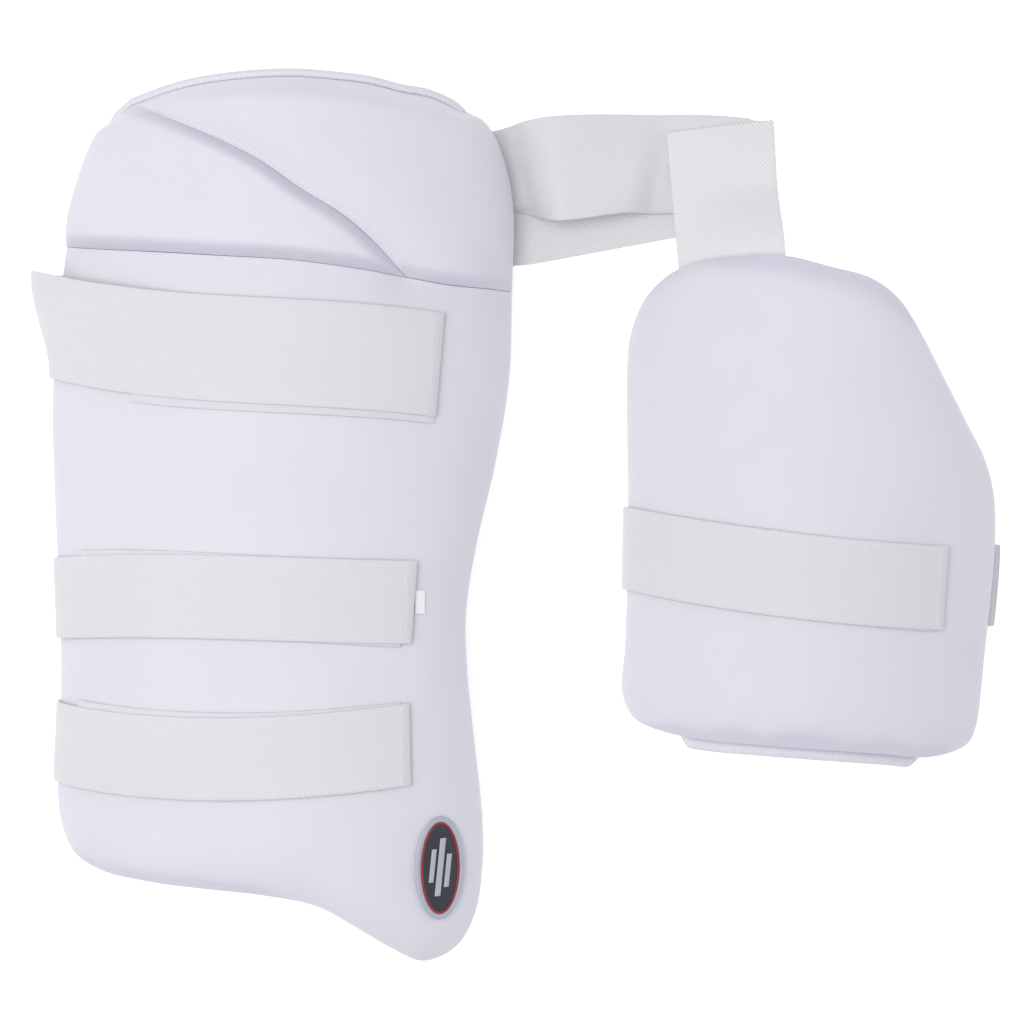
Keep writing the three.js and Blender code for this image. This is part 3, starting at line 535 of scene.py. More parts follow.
INNER_TOP_ROLL = [
    # x, y
    (-0.330, 0.518),
    (-0.226, 0.504),
    (-0.110, 0.499),
    (-0.004, 0.483),
    (0.110, 0.463),
    (0.180, 0.434),
    (0.236, 0.400),
]
INNER_FOOT_ROLL = [
    # x, y
    (-0.400, -0.486),
    (-0.330, -0.480),
    (-0.263, -0.488),
    (-0.180, -0.478),
    (-0.106, -0.489),
    (-0.020, -0.478),
    (0.070, -0.487),
    (0.150, -0.494),
    (0.208, -0.488),
    (0.290, -0.499),
    (0.360, -0.500),
]


def in_guard(rows, guard):
    """Shares of the guard's width and height, turned into millimetres from its centre."""
    return np.array(rows) * [guard["width"], guard["height"]]


def turned(points, degrees):
    """Points turned about Z. Their heights, if they have them, stay."""
    angle = math.radians(degrees)
    out = np.array(points, float)
    x, y = out[..., 0].copy(), out[..., 1].copy()
    out[..., 0] = x * math.cos(angle) - y * math.sin(angle)
    out[..., 1] = x * math.sin(angle) + y * math.cos(angle)
    return out


def to_frame(guard, points):
    """Turn a guard's own points about Z and shift them to its centre."""
    out = turned(points, guard["turn"])
    out[..., :2] += guard["centre"]
    return out


def to_guard(guard, points):
    """The reverse of to_frame, for points seen from above."""
    return turned(points[..., :2] - guard["centre"], -guard["turn"])


def underside(guard, x):
    """Height of the back panel's underside: a parabola over the width."""
    return RIM_REST + guard["sagitta"] * np.maximum(0, 1 - (2 * x / guard["width"]) ** 2)


def back_of(guard, x):
    """Height of the padding's back, which lies a gap over the panel."""
    return underside(guard, x) + PANEL + GAP


# %% [markdown]
# ## The padding
# Foam under a tight knit cover is full in the middle and rolls over to its rim. At a sewn crease
# the stitches pull the cover part of the way down. So the height of the padding is a product: each
# edge multiplies it by its own share, down to nothing at a free rim and to a shallow valley at a
# seam. A product has no ridge where two edges meet, as a plain distance to the nearest edge has.
# A hip block stands up steeply from a crease and the piece beyond it slopes down gently, which is why the
# photo shows a dark band on one side of the stitches only. The cover's colour is also painted darker along
# such steep creases, as painted shade.

# %% Height of the padding
# EDGE_ROLL, and STEEP and GENTLE below, are a valley's radius and power.
EDGE_ROLL = (8.0, 1.3)
RIM_SHARE = 0.32
RIM_UNDERCUT = 4.0
SEWN_RIM = 0.25
TOP_ROLL = 15.0
TOP_POWER = 2.2
TOP_FROM = 0.44
TOP_FADE = 0.03
TOP_END = 0.44
TOP_END_FADE = 0.07


def roll(distance, radius):
    """Height share of a quarter ellipse that starts upright at the edge."""
    u = 1 - np.minimum(distance / radius, 1)
    return np.sqrt(1 - u * u)


def valley(distance, radius, power):
    """Height share that leaves the edge on a slope of power / radius and levels off at the radius."""
    return 1 - (1 - np.minimum(distance / radius, 1)) ** power


def at_top(xy):
    """1 along the top of the outer guard and 0 elsewhere, with soft ends."""
    y = smooth_step((xy[..., 1] / OUTER["height"] - TOP_FROM) / TOP_FADE)
    return y * smooth_step((TOP_END - xy[..., 0] / OUTER["width"]) / TOP_END_FADE)


def rim_of(pad, xy):
    """Height of the rim's widest line, which sinks where the rim is sewn to the top edge."""
    rim = pad["foam"] * RIM_SHARE + np.zeros(xy.shape[:-1])
    return rim * (1 - (1 - SEWN_RIM) * at_top(xy)) if pad["sewn_top"] else rim


def pad_height(pad, xy):
    """Foam height over the back: the rim, and a rise times the share of every edge."""
    rim = rim_of(pad, xy)
    distance = distance_to(xy, pad["free"])
    share = roll(distance, pad["guard"]["roll"])
    if pad["sewn_top"]:
        share = mix(share, valley(distance, TOP_ROLL, TOP_POWER), at_top(xy))
    for line, drop, radius, power in pad["seams"]:
        share = share * (1 - drop * (1 - valley(distance_to(xy, line), radius, power)))
    return rim + (pad["foam"] - rim) * share


def pad_top(pad, xy):
    """Height of the cover over the floor, without its waves."""
    return back_of(pad["guard"], xy[..., 0]) + pad_height(pad, xy)


# %% [markdown]
# A knit cover is never quite smooth: it has broad soft waves, and it gathers in small puckers next
# to a line of stitches. Both are sums of sines whose phases come from fixed numbers, so every run
# gives the same cloth.


# %% Waves and puckers
def soft_waves(xy, size, seed):
    """A sum of six plane waves with fixed random directions, each of length near the given size."""
    chance = np.random.default_rng(seed)
    out = np.zeros(xy.shape[:-1])
    for _ in range(6):
        angle = chance.uniform(0, 2 * math.pi)
        length = size * chance.uniform(0.7, 1.6)
        phase = chance.uniform(0, 2 * math.pi)
        along = xy[..., 0] * math.cos(angle) + xy[..., 1] * math.sin(angle)
        out += np.sin(along * 2 * math.pi / length + phase)
    return out / 6


def puckers(xy, line, reach, period, seed):
    """Small gathers that cross a sewn line: the mean of three sines along it, times e to the minus
    square of the distance over the reach."""
    length = along_line(line)
    flat = xy.reshape(-1, 2)
    along = np.empty(len(flat))
    for start in range(0, len(flat), BLOCK):
        block = ((flat[start:start + BLOCK, None] - line[None]) ** 2).sum(axis=2)
        along[start:start + BLOCK] = length[block.argmin(axis=1)]
    along = along.reshape(xy.shape[:-1])
    fade = np.exp(-((distance_to(xy, line) / reach) ** 2))
    chance = np.random.default_rng(seed)
    wave = sum(
        np.sin(along * 2 * math.pi / (period * chance.uniform(0.8, 1.5)) + chance.uniform(0, 6.3))
        for _ in range(3)
    )
    return fade * wave / 3


# %% [markdown]
# The skin of a pad is a stack of rings. They start in the middle of the back, go out to the rim,
# turn up round it and draw in over the front. They lie closest where the surface bends most.


# %% Skin of a pad
def lifted(xy, z):
    """Points in a plane, each with its own height."""
    return np.concatenate([xy, z[..., None]], axis=-1)


BACK_SHARES = (0.8, 0.6, 0.4, 0.2, 0.08, 0.0)
SIDE_ANGLES = (70, 45, 20)
EDGE_ANGLES = (4, 8, 12, 16, 21, 26, 32, 38, 45, 52, 60, 68, 76, 84, 90)
EDGE_SHARE = 0.34
FRONT_RINGS = 36
RIM_SETBACK = 0.15
RELIEF_FROM_RIM = 9.0


def pad_rings(pad, centre, relief, around):
    """Rings of a pad's skin from the middle of the back, up the side and in to the middle of the
    front. Each ring is the outline drawn in towards the centre by one share, so no ring can fold.
    relief(xy) is the cover's own waves, which fade out at the rim's widest line."""
    guard = pad["guard"]
    loop = even_steps(np.vstack([pad["loop"], pad["loop"][:1]]), around, closed=True)
    ray = centre - loop
    length = np.linalg.norm(ray, axis=1, keepdims=True)
    base = loop + ray / length * RIM_SETBACK
    under = loop + ray / length * RIM_UNDERCUT
    rings = []
    for share in BACK_SHARES:
        ring = mix(under, centre, share)
        rings.append(lifted(ring, back_of(guard, ring[:, 0])))
    for degrees in SIDE_ANGLES:
        angle = math.radians(degrees)
        ring = mix(base, under, 1 - math.cos(angle))
        rings.append(lifted(ring, back_of(guard, ring[:, 0]) + rim_of(pad, ring) * (1 - math.sin(angle))))
    for degrees in (0,) + EDGE_ANGLES:
        inset = EDGE_SHARE * (1 - math.cos(math.radians(degrees)))
        last = mix(base, centre, inset)
        rise = relief(last) * smooth_step(inset * length[:, 0] / RELIEF_FROM_RIM)
        rings.append(lifted(last, pad_top(pad, last) + rise))
    for share in np.linspace(0, 1, FRONT_RINGS)[1:-1]:
        ring = mix(last, centre, share)
        rings.append(lifted(ring, pad_top(pad, ring) + relief(ring)))
    return np.array(rings)


THIGH_AROUND = 640
HIP_AROUND = 520
INNER_AROUND = 560
# Creases and rolled edges narrower than this radius get painted shade in the cover's colour.
PAINTED_SHADE_REACH = 12.0


def painted_shade_at(pad, xy):
    """Share of painted shade in the cover's colour: 1 along a crease or a sharply turned edge and 0 from its
    radius on, an S-shaped fall of 1.6 times the share of the radius that is left. Wide, gentle valleys get no
    painted shade."""
    out = np.zeros(xy.shape[:-1])
    for line, _, radius, _ in pad["seams"]:
        if radius < PAINTED_SHADE_REACH:
            out = np.maximum(out, smooth_step(1.6 * (1 - distance_to(xy, line) / radius)))
    return out


def pad_skin(name, pad, centre, relief, around):
    """The closed skin of a pad, in the frame."""
    guard = pad["guard"]
    centre = np.array(centre)
    rings = to_frame(guard, pad_rings(pad, centre, relief, around))
    bottom = lifted(centre, back_of(guard, centre[0]))
    top = lifted(centre, pad_top(pad, centre[None])[0] + relief(centre[None])[0])
    item = ringed_skin(name, to_frame(guard, bottom), rings, to_frame(guard, top))
    # Each point keeps its share of painted shade as an attribute, which the cover material reads to darken
    # its colour.
    layer = item.data.attributes.new("stretch", "FLOAT", "POINT")
    stretch = painted_shade_at(pad, to_guard(guard, rings)).ravel()
    layer.data.foreach_set("value", np.append(stretch, [0.0, 0.0]).astype(np.float32))
    return item


# %% [markdown]
# ## The outer guard's three pads
# The long block covers the thigh. The hip has two blocks, split by a diagonal crease so that the
# guard can bend when the wearer does. Their tops tuck under a narrow sewn edge of the back panel.

# %% Outer pads
# A seam is (line, drop, radius, power).
thigh_side = through_points(in_guard(OUTER_THIGH_SIDE, OUTER), 300)
hip_left = through_points(in_guard(OUTER_HIP_LEFT, OUTER), 60)
dome = through_points(in_guard(OUTER_DOME, OUTER), 160)
seam_left = through_points(in_guard(HIP_SEAM[:SEAM_MEETING_ROW + 1], OUTER), 90)
seam_right = through_points(in_guard(HIP_SEAM[SEAM_MEETING_ROW:], OUTER), 40)
TOP_FLANGE = 4.5


def below_flange(line):
    """A pad's outline, lowered along the top to leave the panel's sewn edge bare."""
    return line - np.stack([np.zeros(len(line)), TOP_FLANGE * at_top(line)], axis=1)


outer_loop = np.vstack([hip_left[:-1], dome[:-1], thigh_side[:-1]])
hip_left_pad = below_flange(hip_left)
dome_pad = below_flange(dome)
diagonal_pad = through_points(in_guard(DIAGONAL_BELOW_EDGE, OUTER), 110)


def padding(guard, foam, free, seams, loop, sewn_top=False):
    """A pad: its free outline, and its sewn lines with the drop, radius and power of each valley."""
    return dict(guard=guard, foam=foam, free=free, seams=seams, loop=loop, sewn_top=sewn_top)


HIP_DROP = 0.50
THIGH_DROP = 0.36
FOOT_DROP = 0.35
THIGH_VALLEY = (22.0, 2.0)
STEEP = (7.5, 2.2)
GENTLE = (26.0, 2.2)
foot_roll = through_points(in_guard(OUTER_FOOT_ROLL, OUTER), 60)
thigh_pad = padding(
    OUTER,
    OUTER["foam"],
    thigh_side,
    [
        (seam_left, THIGH_DROP, *THIGH_VALLEY),
        (seam_right, THIGH_DROP, *THIGH_VALLEY),
        (foot_roll, FOOT_DROP, *EDGE_ROLL),
    ],
    np.vstack([thigh_side[:-1], seam_left[:-1], seam_right[:-1]]),
)
front_pad = padding(
    OUTER,
    OUTER["hip_foam"],
    hip_left_pad,
    [(diagonal_pad, HIP_DROP, *STEEP), (seam_left, HIP_DROP, *STEEP)],
    np.vstack([hip_left_pad[:-1], diagonal_pad[:-1], seam_left[::-1][:-1]]),
    sewn_top=True,
)
rear_pad = padding(
    OUTER,
    OUTER["hip_foam"],
    dome_pad,
    [(seam_right, HIP_DROP, *STEEP), (diagonal_pad, HIP_DROP, *GENTLE)],
    np.vstack([dome_pad[:-1], seam_right[::-1][:-1], diagonal_pad[::-1][:-1]]),
    sewn_top=True,
)


def thigh_relief(xy):
    """The thigh cover's waves; the numbers after each line are reach, period and seed."""
    return (
        0.35 * soft_waves(xy, 70, 3)
        + 0.28 * puckers(xy, seam_left, 9, 9, 5)
        + 0.28 * puckers(xy, seam_right, 9, 9, 6)
        + 0.22 * puckers(xy, thigh_side, 8, 14, 7)
    )


def hip_relief(xy):
    """The same for the two hip covers."""
    return (
        0.35 * soft_waves(xy, 60, 11)
        + 0.35 * puckers(xy, diagonal_pad, 9, 9, 13)
        + 0.30 * puckers(xy, seam_left, 8, 10, 14)
        + 0.25 * puckers(xy, dome_pad, 8, 11, 15)
    )


thigh_middle = (thigh_pad["loop"].min(axis=0) + thigh_pad["loop"].max(axis=0)) / 2
FRONT_MIDDLE = (-0.22 * OUTER["width"], 0.375 * OUTER["height"])
REAR_MIDDLE = (0.20 * OUTER["width"], 0.38 * OUTER["height"])
thigh = pad_skin("outer_thigh_cover", thigh_pad, thigh_middle, thigh_relief, THIGH_AROUND)
hip_front = pad_skin("outer_hip_cover_front", front_pad, FRONT_MIDDLE, hip_relief, HIP_AROUND)
hip_rear = pad_skin("outer_hip_cover_rear", rear_pad, REAR_MIDDLE, hip_relief, HIP_AROUND)
outer_pads = [thigh_pad, front_pad, rear_pad]

# %% [markdown]
# ## The inner guard's pad
# One block with a broad roll along its top and right side. Its back panel ends in a sewn hem. Along
# its top and foot the cover turns over more sharply, which shows as a blue band in the photo.

# %% Inner pad
inner_loop = through_points(in_guard(INNER_OUTLINE, INNER), 420, closed=True)
inner_ring = np.vstack([inner_loop, inner_loop[:1]])
inner_rolls = [
    (through_points(in_guard(INNER_TOP_ROLL, INNER), 60), 0.6, 11.0, 1.15),
    (through_points(in_guard(INNER_FOOT_ROLL, INNER), 60), 0.5, *EDGE_ROLL),
]
inner_pad = padding(INNER, INNER["foam"], inner_ring, inner_rolls, inner_loop)
inner_bottom = inner_loop[inner_loop[:, 1] < -0.46 * INNER["height"]]


def inner_relief(xy):
    """The same for the inner guard's cover, with broad gathers along its hem."""
    hem = 0.80 * puckers(xy, inner_bottom, 8, 24, 27)
    return 0.35 * soft_waves(xy, 65, 23) + 0.25 * puckers(xy, inner_ring, 8, 13, 25) + hem


INNER_MIDDLE = (-0.02 * INNER["width"], -0.02 * INNER["height"])
inner = pad_skin("inner_thigh_cover", inner_pad, INNER_MIDDLE, inner_relief, INNER_AROUND)

# %% [markdown]
# ## The back panels
# A panel is a lining sheet that follows the hollow side. Along the top of the outer guard and the
# bottom of the inner one it reaches past the padding as a sewn edge, where it is a little fuller.


# %% Back panels
def inset_loop(loop, distance):
    """Shift each point of a loop inwards along its normal by its own distance."""
    tangent = unit(np.roll(loop, -1, axis=0) - np.roll(loop, 1, axis=0))
    inward = np.stack([-tangent[:, 1], tangent[:, 0]], axis=1) * np.sign(signed_area(loop))
    return loop + inward * np.broadcast_to(distance, len(loop))[:, None]


PANEL_INSET = 3.0
PANEL_INSETS = np.array([0.0, 0.25, 0.8, 1.8, 3.2, 5.0, 7.5, 11.0])
SEWN_EDGE = 5.0


def panel_skin(name, guard, loop, centre, edge_rise):
    """Rings under and over the panel; edge_rise(xy, inset) thickens its top near a sewn edge."""
    centre = np.array(centre)
    ray = unit(centre - loop)
    under = []
    over = []
    for inset in PANEL_INSETS:
        ring = loop + ray * inset
        half = PANEL / 2 * math.sqrt(1 - (1 - min(inset / (PANEL / 2), 1)) ** 2)
        middle = underside(guard, ring[:, 0]) + PANEL / 2
        under.append(lifted(ring, middle - half))
        over.append(lifted(ring, middle + half + edge_rise(ring, inset)))
    last = loop + ray * PANEL_INSETS[-1]
    for share in np.linspace(0, 1, 16)[1:-1]:
        ring = mix(last, centre, share)
        under.append(lifted(ring, underside(guard, ring[:, 0])))
        over.append(lifted(ring, underside(guard, ring[:, 0]) + PANEL))
    rings = to_frame(guard, np.array(under[::-1] + over[1:]))
    low = lifted(centre, underside(guard, centre[0]))
    high = low + [0, 0, PANEL]
    return ringed_skin(name, to_frame(guard, low), rings, to_frame(guard, high))


def fullness(inset):
    """A full hem: half a sine over the width of the sewn edge."""
    return math.sin(math.pi * min(inset / SEWN_EDGE, 1))


outer_panel_loop = inset_loop(outer_loop, PANEL_INSET * (1 - at_top(outer_loop)))
outer_panel = panel_skin(
    "outer_lining", OUTER, outer_panel_loop, (0.0, 0.0),
    lambda xy, inset: at_top(xy) * 2.4 * fullness(inset),
)

HEM = 5.6
HEM_FROM = -0.335
HEM_TO = 0.335


def at_hem(xy):
    """1 along the foot of the inner guard, where its hem shows, and 0 elsewhere."""
    low = smooth_step((-0.42 - xy[..., 1] / INNER["height"]) / 0.04)
    start = smooth_step((xy[..., 0] / INNER["width"] - HEM_FROM) / 0.05)
    return low * start * smooth_step((HEM_TO - xy[..., 0] / INNER["width"]) / 0.06)


inner_panel_loop = inset_loop(inner_loop, mix(PANEL_INSET, -HEM, at_hem(inner_loop)))
inner_panel = panel_skin(
    "inner_lining", INNER, inner_panel_loop, INNER_MIDDLE,
    lambda xy, inset: at_hem(xy) * 1.2 * fullness(inset),
)

# %% [markdown]
# ## The leg straps
# Each strap is one elastic band. It is sewn under the panel near the right rim, runs along the
# floor, turns up round the left rim and lies over the front, where its end grips a patch. The
# centre line follows a cubic through a few heights read across the guard.

# %% Strap patterns
# end_high and end_low are the free end's upper and lower corners, and box_from is where its sewn box
# starts. The line gives the centre line's height at each x, and the patch runs from one x to another,
# all in shares of the guard. In millimetres, proud is how far the upper edge stands off the rim,
# patch_shift is how far each end of the patch lies above the line, and back_rise and loop_out are
# how far the strap has risen, and come out past the right rim, where it turns back to be sewn.
STRAPS = {
    "strap_top": dict(
        guard=OUTER, width=49.0, end_high=0.352, end_low=0.334, box_from=-0.136, proud=13.5, back_rise=1.6,
        line=[(-0.47, 0.221), (-0.34, 0.2045), (-0.145, 0.1945), (0.079, 0.1855), (0.35, 0.1755)],
        patch=(-0.300, 0.330), patch_shift=(-4.0, -3.2), loop_out=-6.0,
    ),
    "strap_middle": dict(
        guard=OUTER, width=38.6, end_high=0.297, end_low=0.284, box_from=-0.197, proud=0.0, back_rise=0.0,
        line=[(-0.47, -0.0885), (-0.36, -0.085), (-0.195, -0.0835), (0.044, -0.0865), (0.29, -0.091)],
        patch=(-0.410, 0.262), patch_shift=(2.8, -1.6), loop_out=-6.0,
    ),
    "strap_bottom": dict(
        guard=OUTER, width=38.2, end_high=0.280, end_low=0.283, box_from=-0.226, proud=0.0, back_rise=0.0,
        line=[
            (-0.47, -0.254), (-0.36, -0.260), (-0.223, -0.2635),
            (-0.11, -0.264), (0.078, -0.2595), (0.28, -0.250),
        ],
        patch=(-0.420, 0.262), patch_shift=(3.2, 0.8), loop_out=-6.0,
    ),
    "inner_strap": dict(
        guard=INNER, width=39.4, end_high=0.340, end_low=0.335, box_from=-0.130, proud=0.0, back_rise=-8.6,
        line=[(-0.485, -0.1055), (-0.325, -0.122), (-0.13, -0.1365), (0.065, -0.146), (0.337, -0.1515)],
        patch=(-0.120, 0.315), patch_shift=(0.8, -1.0), loop_out=5.2,
    ),
}
SEWN_LENGTH = 25.0
RIM_CLEARANCE = 0.5
RIM_SHARE_X = -0.47
PROUD_IN_FRONT = 0.45
PROUD_FADES = 50.0
FOOT_BEND = 3.2
STEP = 0.4
LEAST_UP = 0.35
SEWN_STEPS = np.array([0, 0.04, 0.1, 0.18, 0.3, 0.45, 0.6, 0.75, 0.9, 0.97, 0.99, 1.0])


def strap_centre(strap, x):
    """Height of the strap's centre line at x: a cubic through the chosen heights."""
    guard = strap["guard"]
    rows = in_guard(strap["line"], guard)
    fit = np.polyfit(rows[:, 0], rows[:, 1], 3)
    return np.polyval(fit, np.clip(x, rows[0, 0] - 12, rows[-1, 0]))


def front_of(pads, xy):
    """Highest padding and unit normal at each point, from small steps in x and y."""
    def height(at):
        return np.max([pad_top(pad, at) for pad in pads], axis=0)

    here = height(xy)
    slope_x = (height(xy + [STEP, 0]) - height(xy - [STEP, 0])) / (2 * STEP)
    slope_y = (height(xy + [0, STEP]) - height(xy - [0, STEP])) / (2 * STEP)
    normal = np.stack([-slope_x, -slope_y, np.ones_like(here)], axis=-1)
    return here, unit(normal)


def over_front(pads, xy, clearance):
    """Points that lie a clearance above the padding, measured square to its surface."""
    height, normal = front_of(pads, xy)
    rise = clearance / np.maximum(normal[..., 2], LEAST_UP)
    return lifted(xy, height + rise)


def strap_surface(strap, pads, loop):
    """The strap's middle surface, in the guard's own place. Rows run along the strap and columns
    across it, and every column is worked out from its own height on the guard. Round the rim it is a
    quarter ellipse pushed outwards, square to itself. A strap that stands proud leaves the rim by
    that much along its upper edge, and by less on the front."""
    guard = strap["guard"]
    half = ELASTIC / 2
    over_patch = SURFACE_GAP + PATCH + GAP + half
    foam = pads[0]["foam"]
    rim = foam * RIM_SHARE
    turn = np.radians(np.linspace(88, 2, 26))
    columns = []
    for share in edge_shares(14, strap["width"], ELASTIC / 2):
        offset = (share - 0.5) * strap["width"]
        proud = strap["proud"] * smooth_step(share)
        end_x = mix(strap["end_low"], strap["end_high"], share) * guard["width"]
        rim_x, _ = span_of(loop, strap_centre(strap, RIM_SHARE_X * guard["width"]) + offset)
        y_left = strap_centre(strap, rim_x - proud) + offset
        rim_x, right_x = span_of(loop, y_left)
        roll_x = rim_x + guard["roll"]
        x = mix(end_x, roll_x, np.linspace(0, 1, 90))
        x[1:3] = end_x - np.array([0.12, 0.4])
        y = strap_centre(strap, x) + offset
        front = over_front(pads, np.stack([x, y], axis=1), over_patch)
        front[:, 2] += proud * PROUD_IN_FRONT * smooth_step((roll_x + PROUD_FADES - x) / PROUD_FADES)
        over_roll = over_patch + proud * PROUD_IN_FRONT
        cover = mix(RIM_CLEARANCE + half + proud, over_roll, smooth_step(np.sin(turn)))
        x = rim_x + guard["roll"] * (1 - np.cos(turn))
        z = back_of(guard, x) + rim + (foam - rim) * np.sin(turn)
        out = unit(np.stack([np.cos(turn) / guard["roll"], np.sin(turn) / (foam - rim)], axis=1))
        x = x - out[:, 0] * cover
        over = np.stack([x, strap_centre(strap, x) + offset, z + out[:, 1] * cover], axis=1)
        out_x = rim_x - RIM_CLEARANCE - half - proud
        angle = np.radians(np.linspace(0, 90, 9))
        foot_x = out_x + FOOT_BEND * (1 - np.cos(angle))
        foot = np.stack([foot_x, np.full(9, y_left), half + FOOT_BEND * (1 - np.sin(angle))], axis=1)
        radius = (RIM_REST - GAP - ELASTIC) / 2
        bend_x = right_x + strap["loop_out"] - radius - half
        t = np.linspace(0, 1, 60)[1:]
        run_y = y_left + strap["back_rise"] * t
        run = np.stack([mix(out_x + FOOT_BEND, bend_x, t), run_y, np.full(59, half)], axis=1)
        angle = np.radians(np.linspace(0, 180, 12))[1:-1]
        y_right = y_left + strap["back_rise"]
        back_x = bend_x + radius * np.sin(angle)
        back = np.stack([back_x, np.full(10, y_right), half + radius * (1 - np.cos(angle))], axis=1)
        x = bend_x - SEWN_STEPS * SEWN_LENGTH
        sewn_z = underside(guard, np.minimum(x, right_x)) - GAP - half
        sewn = np.stack([x, np.full(len(x), y_right), sewn_z], axis=1)
        columns.append(np.vstack([front, over, foot, run, back, sewn]))
    return np.stack(columns, axis=1)


strap_items = {}
for strap_name, strap in STRAPS.items():
    on_outer = strap["guard"] is OUTER
    strap_pads = outer_pads[:1] if on_outer else [inner_pad]
    middle = strap_surface(strap, strap_pads, outer_loop if on_outer else inner_loop)
    strap["pads"] = strap_pads
    strap_items[strap_name] = band(f"{strap_name}_elastic", to_frame(strap["guard"], middle), ELASTIC)

# %% [markdown]
# The fastening patch is sewn to the cover under each strap. It lies a little askew, so its edge
# peeks out above or below the elastic.


# %% Patches
def patch_surface(strap):
    """A strip on the padding along the strap's centre line, shifted by a slope from end to end."""
    guard = strap["guard"]
    low, high = np.array(strap["patch"]) * guard["width"]
    along = edge_shares(70, high - low, PATCH / 2)
    across = edge_shares(12, strap["width"], PATCH / 2)
    x = mix(low, high, along)[:, None] + np.zeros(len(across))
    shift = mix(strap["patch_shift"][0], strap["patch_shift"][1], along)[:, None]
    y = strap_centre(strap, x) + shift + (across[None] - 0.5) * strap["width"]
    return over_front(strap["pads"], np.stack([x, y], axis=-1), SURFACE_GAP + PATCH / 2)


patch_items = {}
for strap_name, strap in STRAPS.items():
    patch_items[strap_name] = band(
        f"{strap_name}_loop_patch", to_frame(strap["guard"], patch_surface(strap)), PATCH
    )

# %% [markdown]
# ## The small label
# A plain ribbon label is caught under the end of the middle strap.

# %% Label
LABEL = dict(width=4.6, height=11.0, thickness=0.6, past_end=1.6)
middle_strap = STRAPS["strap_middle"]
label_x = middle_strap["end_low"] * OUTER["width"] + LABEL["past_end"]
label_x = label_x + edge_shares(8, LABEL["width"], 0.3) * LABEL["width"]
label_y = strap_centre(middle_strap, label_x[0])
label_y = label_y + (edge_shares(10, LABEL["height"], 0.3) - 0.5) * LABEL["height"]
label_grid = np.stack(np.meshgrid(label_x, label_y, indexing="ij"), axis=-1)
label_surface = over_front(outer_pads[:1], label_grid, SURFACE_GAP + LABEL["thickness"] / 2)
label = band("strap_end_label", to_frame(OUTER, label_surface), LABEL["thickness"])

# %% [markdown]
# ## The badge
# A moulded rubber badge sits on the lower lobe: a raised rim, a thin red line inside it and a dark
# field with three leaning bars.

# %% Badge
BADGE = dict(width=23.0, height=48.0, rim=2.6, field=1.2, rise=2.2)
BADGE_SIDES = 96


def badge_ring(share, inset, height):
    """One oval ring on the padding at a height above it."""
    angle = np.arange(BADGE_SIDES) / BADGE_SIDES * 2 * math.pi
    x = BADGE_AT[0] * OUTER["width"] + (BADGE["width"] / 2 - inset) * share * np.cos(angle)
    y = BADGE_AT[1] * OUTER["height"] + (BADGE["height"] / 2 - inset) * share * np.sin(angle)
    return over_front(outer_pads[:1], np.stack([x, y], axis=1), SURFACE_GAP + height)


def oval_plate(name, inset, low, high, steps=7):
    """A closed oval plate between two heights with a softened upper edge."""
    rings = [badge_ring(share, inset, low) for share in np.linspace(0.15, 1, steps)]
    rings += [badge_ring(1, inset, mix(low, high, 0.7)), badge_ring(1, inset + 0.15, mix(low, high, 0.92))]
    rings += [badge_ring(share, inset + 0.4, high) for share in np.linspace(1, 0.15, steps)]
    rings = np.array(rings)
    first = rings[0].mean(axis=0)
    last = rings[-1].mean(axis=0)
    return ringed_skin(name, to_frame(OUTER, first), to_frame(OUTER, rings), to_frame(OUTER, last))


def oval_band(name, outer_inset, inner_inset, low, high):
    """A closed oval hoop. Its section goes up the outer wall, over a half circle and down; the
    half circle is flattened to 45 % of the hoop's height."""
    middle_inset = (outer_inset + inner_inset) / 2
    reach = (inner_inset - outer_inset) / 2
    angle = np.radians(np.linspace(0, 180, 13))
    rings = [badge_ring(1, inner_inset, low), badge_ring(1, outer_inset, low)]
    for a in angle:
        dome_height = mix(low, high, 0.55) + (high - low) * 0.45 * math.sin(a)
        rings.append(badge_ring(1, middle_inset - reach * math.cos(a), dome_height))
    rings = to_frame(OUTER, np.array(rings))
    index = np.arange(rings.shape[0] * BADGE_SIDES).reshape(rings.shape[0], BADGE_SIDES)
    quads = grid_quads(np.pad(index, ((0, 1), (0, 1)), mode="wrap"))
    return add_mesh(name, rings.reshape(-1, 3), quads)


# name, outer and inner inset from the oval, foot and top over the padding
badge_rim = oval_band("badge_rim_moulding", 0.0, BADGE["rim"], 0.0, BADGE["rise"])
badge_line = oval_band("badge_red_line", BADGE["rim"] + 0.1, BADGE["rim"] + 1.0, 0.6, 1.55)
badge_field = oval_plate("badge_dark_field", BADGE["rim"] + 0.25, 0.0, BADGE["field"])


BADGE_BARS = [
    # middle x, half width, top, bottom
    (-3.6, 1.1, 9.0, -6.5),
    (0.0, 1.3, 14.0, -13.0),
    (3.6, 1.1, 6.5, -9.0),
]
BAR_LEAN = 0.10
BAR_PROUD = 0.25
BAR_THICKNESS = 0.8


def badge_bars():
    """Three leaning bars with softened edges, each a band on the field."""
    out = []
    for middle_x, half_width, top, bottom in BADGE_BARS:
        along = edge_shares(24, top - bottom, 0.4)
        across = edge_shares(6, 2 * half_width, 0.4)
        y = mix(bottom, top, along)[:, None] + np.zeros(len(across))
        x = middle_x + (across[None] - 0.5) * 2 * half_width + y * BAR_LEAN
        xy = np.stack([x + BADGE_AT[0] * OUTER["width"], y + BADGE_AT[1] * OUTER["height"]], axis=-1)
        surface = over_front(outer_pads[:1], xy, SURFACE_GAP + BADGE["field"] + BAR_PROUD)
        out.append(band(f"badge_bar_{len(out)}", to_frame(OUTER, surface), BAR_THICKNESS))
    return out


bars = badge_bars()

# %% [markdown]
# ## The waist belt
# The belt is one long elastic. It is sewn under the hip block, dives below the rim, bulges up, runs
# behind the webbing tab, folds back on itself and returns lower down to its hidden fastening.

